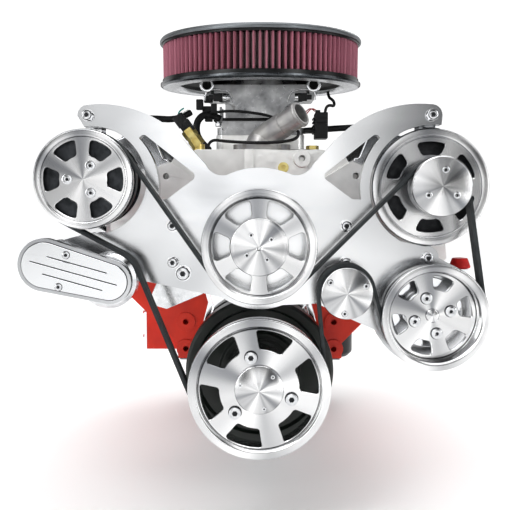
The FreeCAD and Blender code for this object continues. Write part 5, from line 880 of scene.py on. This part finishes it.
# Air cleaner
def pleatTree(name):
    # moves the outer wall of a ring in and out into folds
    kinds = {"Ring": "Geometry", "Folds": "Float", "Depth": "Float", "Inner Radius": "Float",
             "Finish": "Material"}
    tree, given = startTree(name, kinds, "Pleats")
    place = geometry(tree, "InputPosition")
    parts = addNode(tree, "ShaderNodeSeparateXYZ", {0: place}).outputs
    turn = maths(tree, "MULTIPLY", maths(tree, "ARCTAN2", parts[1], parts[0]), given["Folds"])
    sharp = maths(tree, "POWER", spread(tree, maths(tree, "COSINE", turn), -1, 1, 1, 0), 0.9)
    flat = vectors(tree, "MULTIPLY", place, (1, 1, 0))
    outer = maths(tree, "GREATER_THAN", vectors(tree, "LENGTH", flat), given["Inner Radius"])
    back = maths(tree, "MULTIPLY", maths(tree, "MULTIPLY", sharp, given["Depth"]), -1)
    move = addNode(tree, "ShaderNodeVectorMath", {0: vectors(tree, "NORMALIZE", flat), "Scale": back},
                   operation="SCALE")
    folds = {"Geometry": given["Ring"], "Selection": outer, "Offset": move.outputs[0]}
    real = geometry(tree, "RealizeInstances", {0: geometry(tree, "SetPosition", folds)})
    dressed = geometry(tree, "SetMaterial", {"Geometry": real, "Material": given["Finish"]})
    addNode(tree, "NodeGroupOutput", {0: dressed})
    return tree


filterSize = {"folds": 104, "depth": 17, "outer": 172.5, "inner": 153, "low": 95, "high": 159}
inner, outer, low, high = (filterSize[key] for key in ("inner", "outer", "low", "high"))
ring = turned("filterRing", [(inner, low), (outer, low), (outer, high), (inner, high)], Matrix.Identity(4),
              "gauze", 1200, 0)
grown(ring, pleatTree("filterPleats"), {
    "Folds": float(filterSize["folds"]), "Depth": filterSize["depth"] * mm,
    "Inner Radius": (inner + 2) * mm, "Finish": finish["gauze"]})
ring.data.transform(padPlace)
smoothed(ring.data, 60)
ring.name = "pleatedFilter"
settle(ring, "engine", "pleats", "filter_pleats")

seals = [turned("seal", profile, padPlace, "seal", 200)
         for profile in ([(152, 86), (173, 86), (174, 89), (174, 98), (152, 98)],
                         [(152, 155), (174, 155), (174, 162.6), (152, 162.6)])]
settle(joined("filterEnds", seals), "engine", "rubber", "filter_seals")
lid = turned("cleanerLid", [(4, 163.2), (174.2, 163.2), (174.2, 158.5), (177.8, 158.5), (177.8, 163),
                            (174.8, 167), (134, 167), (131, 165.6), (58, 165.6), (55, 167), (4, 167)],
             padPlace, "lid", 240, 1.2)
settle(lid, "engine", "chrome", "air_cleaner_lid")
parts = [turned("trayRing", [(143, 89.8), (148, 84), (173.8, 84), (173.8, 86), (149, 86), (144, 91.6)],
                padPlace, "tray", 240, 0.8),
         # the lip is a darker copy of the tray's plating: painted shade
         turned("trayLip", [(173.9, 84), (177.8, 87), (177.8, 91.5), (174.6, 91.5), (174.6, 88), (173.9, 86)],
                padPlace, "trayLip", 240, 0.8),
         # the dish under the filter is flat black: painted shade
         turned("trayDish", [(59, 95), (139, 95), (143.4, 89.8), (144.4, 91.6), (140, 97), (59, 97)],
                padPlace, "paintedShadeBlack", 200, 0.4)]
settle(joined("cleanerTray", parts), "engine", "chrome", "air_cleaner_base")
nut = turned("cleanerNut", [(0, 167.2), (14, 167.2), (14, 173), (10, 179), (0, 179.3)], padPlace,
             "chrome", 64)
settle(nut, "engine", "chrome", "air_cleaner_nut")
print("air cleaner ready")

# Castings and plates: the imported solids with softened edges
dressing = {
    "front_bracket": (1.5, "billet", "brushed_aluminium"),
    "engine_block": (2, "enamel", "block_paint"),
    "intake_manifold": (3, "manifold", "cast_aluminium"),
    "throttle_body": (1.2, "throttle", "cast_aluminium"),
    "thermostat_housing": (1, "neck", "cast_aluminium"),
    "head_driver": (2, "head", "cast_aluminium"),
    "head_passenger": (2, "head", "cast_aluminium"),
    "valve_cover_driver": (4, "coverCast", "polished_aluminium"),
    "valve_cover_passenger": (4, "coverCast", "polished_aluminium"),
    "timing_cover": (1.6, "chrome", "chrome"),
    "oil_pan": (1.5, "panChrome", "chrome"),
    "water_pump": (2, "polishedCast", "polished_aluminium"),
    "alternator_case": (2, "darkCase", "chrome"),
    "compressor_body": (2, "chrome", "polished_aluminium"),
    "steering_pump": (2, "chrome", "polished_aluminium"),
    "tensioner_base": (1, "polishedCast", "polished_aluminium"),
    "fuel_rails": (0.8, "polishedCast", "polished_aluminium"),
    "distributor_base": (0.8, "polishedCast", "polished_aluminium"),
    "distributor_cap": (1, "nylon", "black_plastic"),
    "sensor_connector": (0.8, "nylon", "black_plastic"),
    "pressure_sensor": (1.2, "nylon", "black_plastic"),
    "brass_fittings": (0.6, "brass", "brass"),
    "bracket_bolts": (0.6, "chrome", "chrome"),
    "damper": (0.8, "damper", "dark_steel"),
    "oil_filter": (3, "can", "filter_paint"),
    "fuel_pump_cover": (0.5, "chrome", "chrome"),
    "spark_plugs": (0.6, "steel", "steel"),
    "tensioner_arm": (0.6, "billet", "brushed_aluminium"),
}
bodyOf = {name: body for body, names in frame["record"]["behaviour"]["bodies"].items() for name in names}
for nodeName, (width, kind, slot) in dressing.items():
    settle(dressedCopy(nodeName, width, finish[kind]), bodyOf[nodeName], slot, nodeName)

plain = {
    "steel": ("crankshaft", "camshaft", "crank_sprocket", "cam_sprocket", "timing_chain", "throttle_front",
              "throttle_rear", "alternator_pulley", "bracket_standoffs"),
    "iron": ("main_caps",), "clutch": ("compressor_pulley",), "polishedCast": ("tensioner_pulley",),
}
for kind, names in plain.items():
    for nodeName in names:
        onlyFinish(nodes[nodeName].data, finish[kind])
print("castings ready")


def facing(x, y, z):
    return Vector((x, y, z)).to_track_quat("Z", "Y").to_matrix().to_4x4()


# Collars of the hoses, and the bead of the water neck
grommets = []
for side, station in ((1, 290), (-1, 400)):
    out = facing(side * 0.375, 0, 0.927)
    grommets.append(turned("grommet", [(0, 0.3), (9.5, 0.3), (9.5, 3), (8, 4.4), (8, 9), (9.5, 10.4),
                                       (8.6, 12), (0, 12.2)],
                           shifted(side * 211.6, -station, 327.9) @ out, "rubber", 40, 0.8))
settle(joined("hoseGrommets", grommets), "engine", "rubber")

neckPlace = shifted(3, -452, 329) @ facing(0.745, -0.503, 0.438)
settle(turned("neckBead", [(17.6, 71.5), (19, 71.5), (19.6, 73), (19.6, 75), (19, 76.5), (17.6, 76.5)],
              neckPlace, "neck", 96, 0.5), "engine", "cast_aluminium")

# Fuel rail ends: a bright lip round a bore on each, closed by a dark plug of painted shade
railParts = []
for side in (1, -1):
    railPlace = padPlace @ shifted(side * 89, 0, 82) @ quarter
    railParts.append(turned("railLip", [(7.6, 84), (10.4, 84), (12.2, 85), (12.2, 91), (11.2, 92.2),
                                        (7.6, 92.2)], railPlace, "polishedCast", 64, 0.5))
    railParts.append(turned("railBorePaintedShade", [(0, 74), (7.4, 74), (7.4, 82), (0, 82)], railPlace, "paintedShadeBlack",
                            48, 0.3))
settle(joined("railEnds", railParts), "engine", "polished_aluminium")


def boxes(name, blocks, place, material, edge):
    # rounded blocks: (x, y, z of the middle, width, depth, height) in millimetres
    form = bmesh.new()
    for x, y, z, width, depth, height in blocks:
        for vert in bmesh.ops.create_cube(form, size=1)["verts"]:
            vert.co = Vector(((x + vert.co.x * width) * mm, (y + vert.co.y * depth) * mm,
                              (z + vert.co.z * height) * mm))
    piece = beveled(addPiece(name, fromForm(name, form), material), edge, 3)
    piece.data.transform(place)
    smoothed(piece.data, 40)
    return piece


def wire(name, points, radius, material):
    # a short bent lead or clip, as a mesh
    holder = addPiece(name, tube(name, points, radius, 3, 8))
    mesh = shownMesh(holder)
    bpy.data.objects.remove(holder)
    return addPiece(name, smoothed(mesh, 50), material)


# Injectors: a black plug on a pale body at each front corner, held by a wire clip
for side, word in ((1, "driver"), (-1, "passenger")):
    bodyPlace = padPlace @ shifted(side * 64, -78, 62) @ quarter @ Matrix.Rotation(radians(90), 4, "Y")
    parts = [turned("injector", [(0, -6), (8, -6), (8, 6), (6.4, 8), (6.4, 13), (0, 13)], bodyPlace,
                    "polishedCast", 40, 0.6),
             boxes("plug", [(0, 0, 0, 15, 9, 13), (0, 5.5, 0, 11, 4, 9), (side * 11, 0, 0, 9, 6, 8)],
                   padPlace @ shifted(side * 71, -86, 62), "nylon", 1.2),
             wire("clip", [(side * 46, -338, 400), (side * 50, -347, 416), (side * 62, -352, 419),
                           (side * 82, -352, 420), (side * 93, -350, 414), (side * 93, -348, 402)], 1.1,
                  "bright")]
    settle(joined(word + "Injector", parts), "engine", "black_plastic")

# Connectors and their leads
leanLeft = shifted(-110.5, -462, 346) @ Matrix.Rotation(radians(-36), 4, "Y")
parts = [boxes("shell", [(0, 0, 0, 17, 15, 20), (0, -7.6, 2, 7, 3, 12), (0, 0, 12, 12, 11, 5)], leanLeft,
               "nylon", 1.4),
         wire("tealLead", [(-117, -462, 355), (-124, -458, 362), (-125, -453, 371), (-117, -450, 376)], 1.3,
              "teal"),
         wire("paleLead", [(-114, -462, 357), (-119, -457, 364), (-118, -452, 371), (-110, -449, 374)], 0.9,
              "white")]
settle(joined("leftConnector", parts), "engine", "black_plastic")
moduleRibs = boxes("moduleRibs", [(92, -322, 350 + 6 * rib, 5, 30, 2.4) for rib in range(5)]
                   + [(104, -339.6, 370, 17, 3, 8), (98, -330, 385.4, 8, 12, 5)], Matrix.Identity(4),
                   "nylon", 0.7)
redLeads = [wire("redLead", [(97 - shift, -330, 386), (92 - shift, -332, 391), (84 - shift, -334, 389),
                             (78 - shift, -336, 380)], 1.0, "red") for shift in (0, 4)]
bentPipe = wire("bentPipe", [(111, -322, 383), (112, -322, 394), (119, -322, 398), (127, -318, 396),
                             (128, -312, 404), (124, -306, 410), (119, -300, 414), (118, -298, 424)], 2.6,
                "rubber")
settle(joined("moduleDetails", [moduleRibs, bentPipe] + redLeads), "engine", "black_plastic")

# Round the throttle body: studs, painted shade under its flange as dark boxes, and plugs of the loom at its
# left
studs = [turned("stud", [(0, 0), (5.2, 0), (5.2, 6), (2.6, 6.6), (2.6, 12), (0, 12.6)],
                padPlace @ shifted(x, -y, 14), "bright", 6, 0.3)
         for x, y in ((-72, 70), (72, 70), (-72, -70), (72, -70))]
shades = boxes("flangeShade", [(0, -79.2, 26, 128, 2.4, 5), (-79.2, 0, 26, 2.4, 128, 5),
                               (79.2, 0, 26, 2.4, 128, 5)], padPlace, "paintedShadeBlack", 0.8)
plugs = boxes("loomPlugs", [(-92, -52, 40, 16, 14, 20), (-88, -70, 30, 13, 12, 15),
                            (-104, -60, 52, 12, 12, 18), (-90, -48, 62, 15, 13, 12),
                            (-78, -84, 44, 10, 9, 16)], padPlace, "nylon", 1.4)
settle(joined("throttleDetails", studs + [shades, plugs]), "engine", "black_plastic")

# The red filler cap, and sockets in the heads of the bracket's bolts
fillerCap = turned("fillerCap", [(0, 9.6), (13.4, 9.6), (14.6, 10.6), (14.6, 12.6), (10.5, 23.6), (0, 24.6)],
                   shifted(279.5, -560, 131.2), "redNylon", 40, 0.8)
settle(fillerCap, "engine", "red_plastic", "pump_reservoir_cap")
boltPlaces = [(111.8, 202.3), (-111.8, 202.3), (111.8, 155.0), (-111.8, 155.0), (219, 343), (-219, 343),
              (216.6, 160.8)]
place = frontPlace("crank")
sockets = [screws("boltSockets", boltPlaces, 640.9, 5.6, 1.2, 3.2, place),
           screws("bigSocket", [(-98.6, 140.9)], 640.9, 7.6, 1.2, 3.8, place)]
settle(joined("bracketSockets", sockets), "engine", "chrome")


# The raised panel of the tensioner's cover, with three long grooves, on the moving arm
def capsule(first, firstRadius, second, secondRadius):
    # the outline round two circles
    span = Vector(second) - Vector(first)
    base = degrees(atan2(span.y, span.x))
    lean = degrees(acos((firstRadius - secondRadius) / span.length))
    return (arc(*first, firstRadius, base + lean, base + 360 - lean, 40)
            + arc(*second, secondRadius, base - lean, base + lean, 40))


cover = {"pivot": (-261.4, 156.7), "wheel": (-182.7, 136), "along": (74.4, -20.7), "across": (0.268, 0.964),
         "pitch": 11, "groove": 0.7}
pivot, wheelEnd = cover["pivot"], cover["wheel"]
grooves = []
for step, low, high in ((-1, 0.02, 0.98), (0, -0.22, 1.18), (1, 0.02, 0.98)):
    start = Vector(pivot) + Vector(cover["across"]) * cover["pitch"] * step
    ends = [tuple(start + Vector(cover["along"]) * share) for share in (low, high)]
    grooves.append(capsule(ends[0], cover["groove"], ends[1], cover["groove"]))
# the dark plate under the panel is painted shade, seen round its edge and through its grooves
parts = [plate("coverShade", [capsule(pivot, 28.4, wheelEnd, 22.9)], 691.45, 691.9, place, "gap", 0.1),
         plate("coverPanel", [capsule(pivot, 27.4, wheelEnd, 21.9)] + grooves, 691.6, 693.2, place,
               "panel", 0.3)]
settle(joined("tensionerPanel", parts), "belt_arm", "brushed_aluminium")

# Screws of the tensioner's cover plate, on the moving arm
settle(screws("tensionerScrews", [(-234, 169), (-244, 130)], 693.3, 4.4, 1.4, 2.2, place),
       "belt_arm", "chrome")
print("small pieces ready")
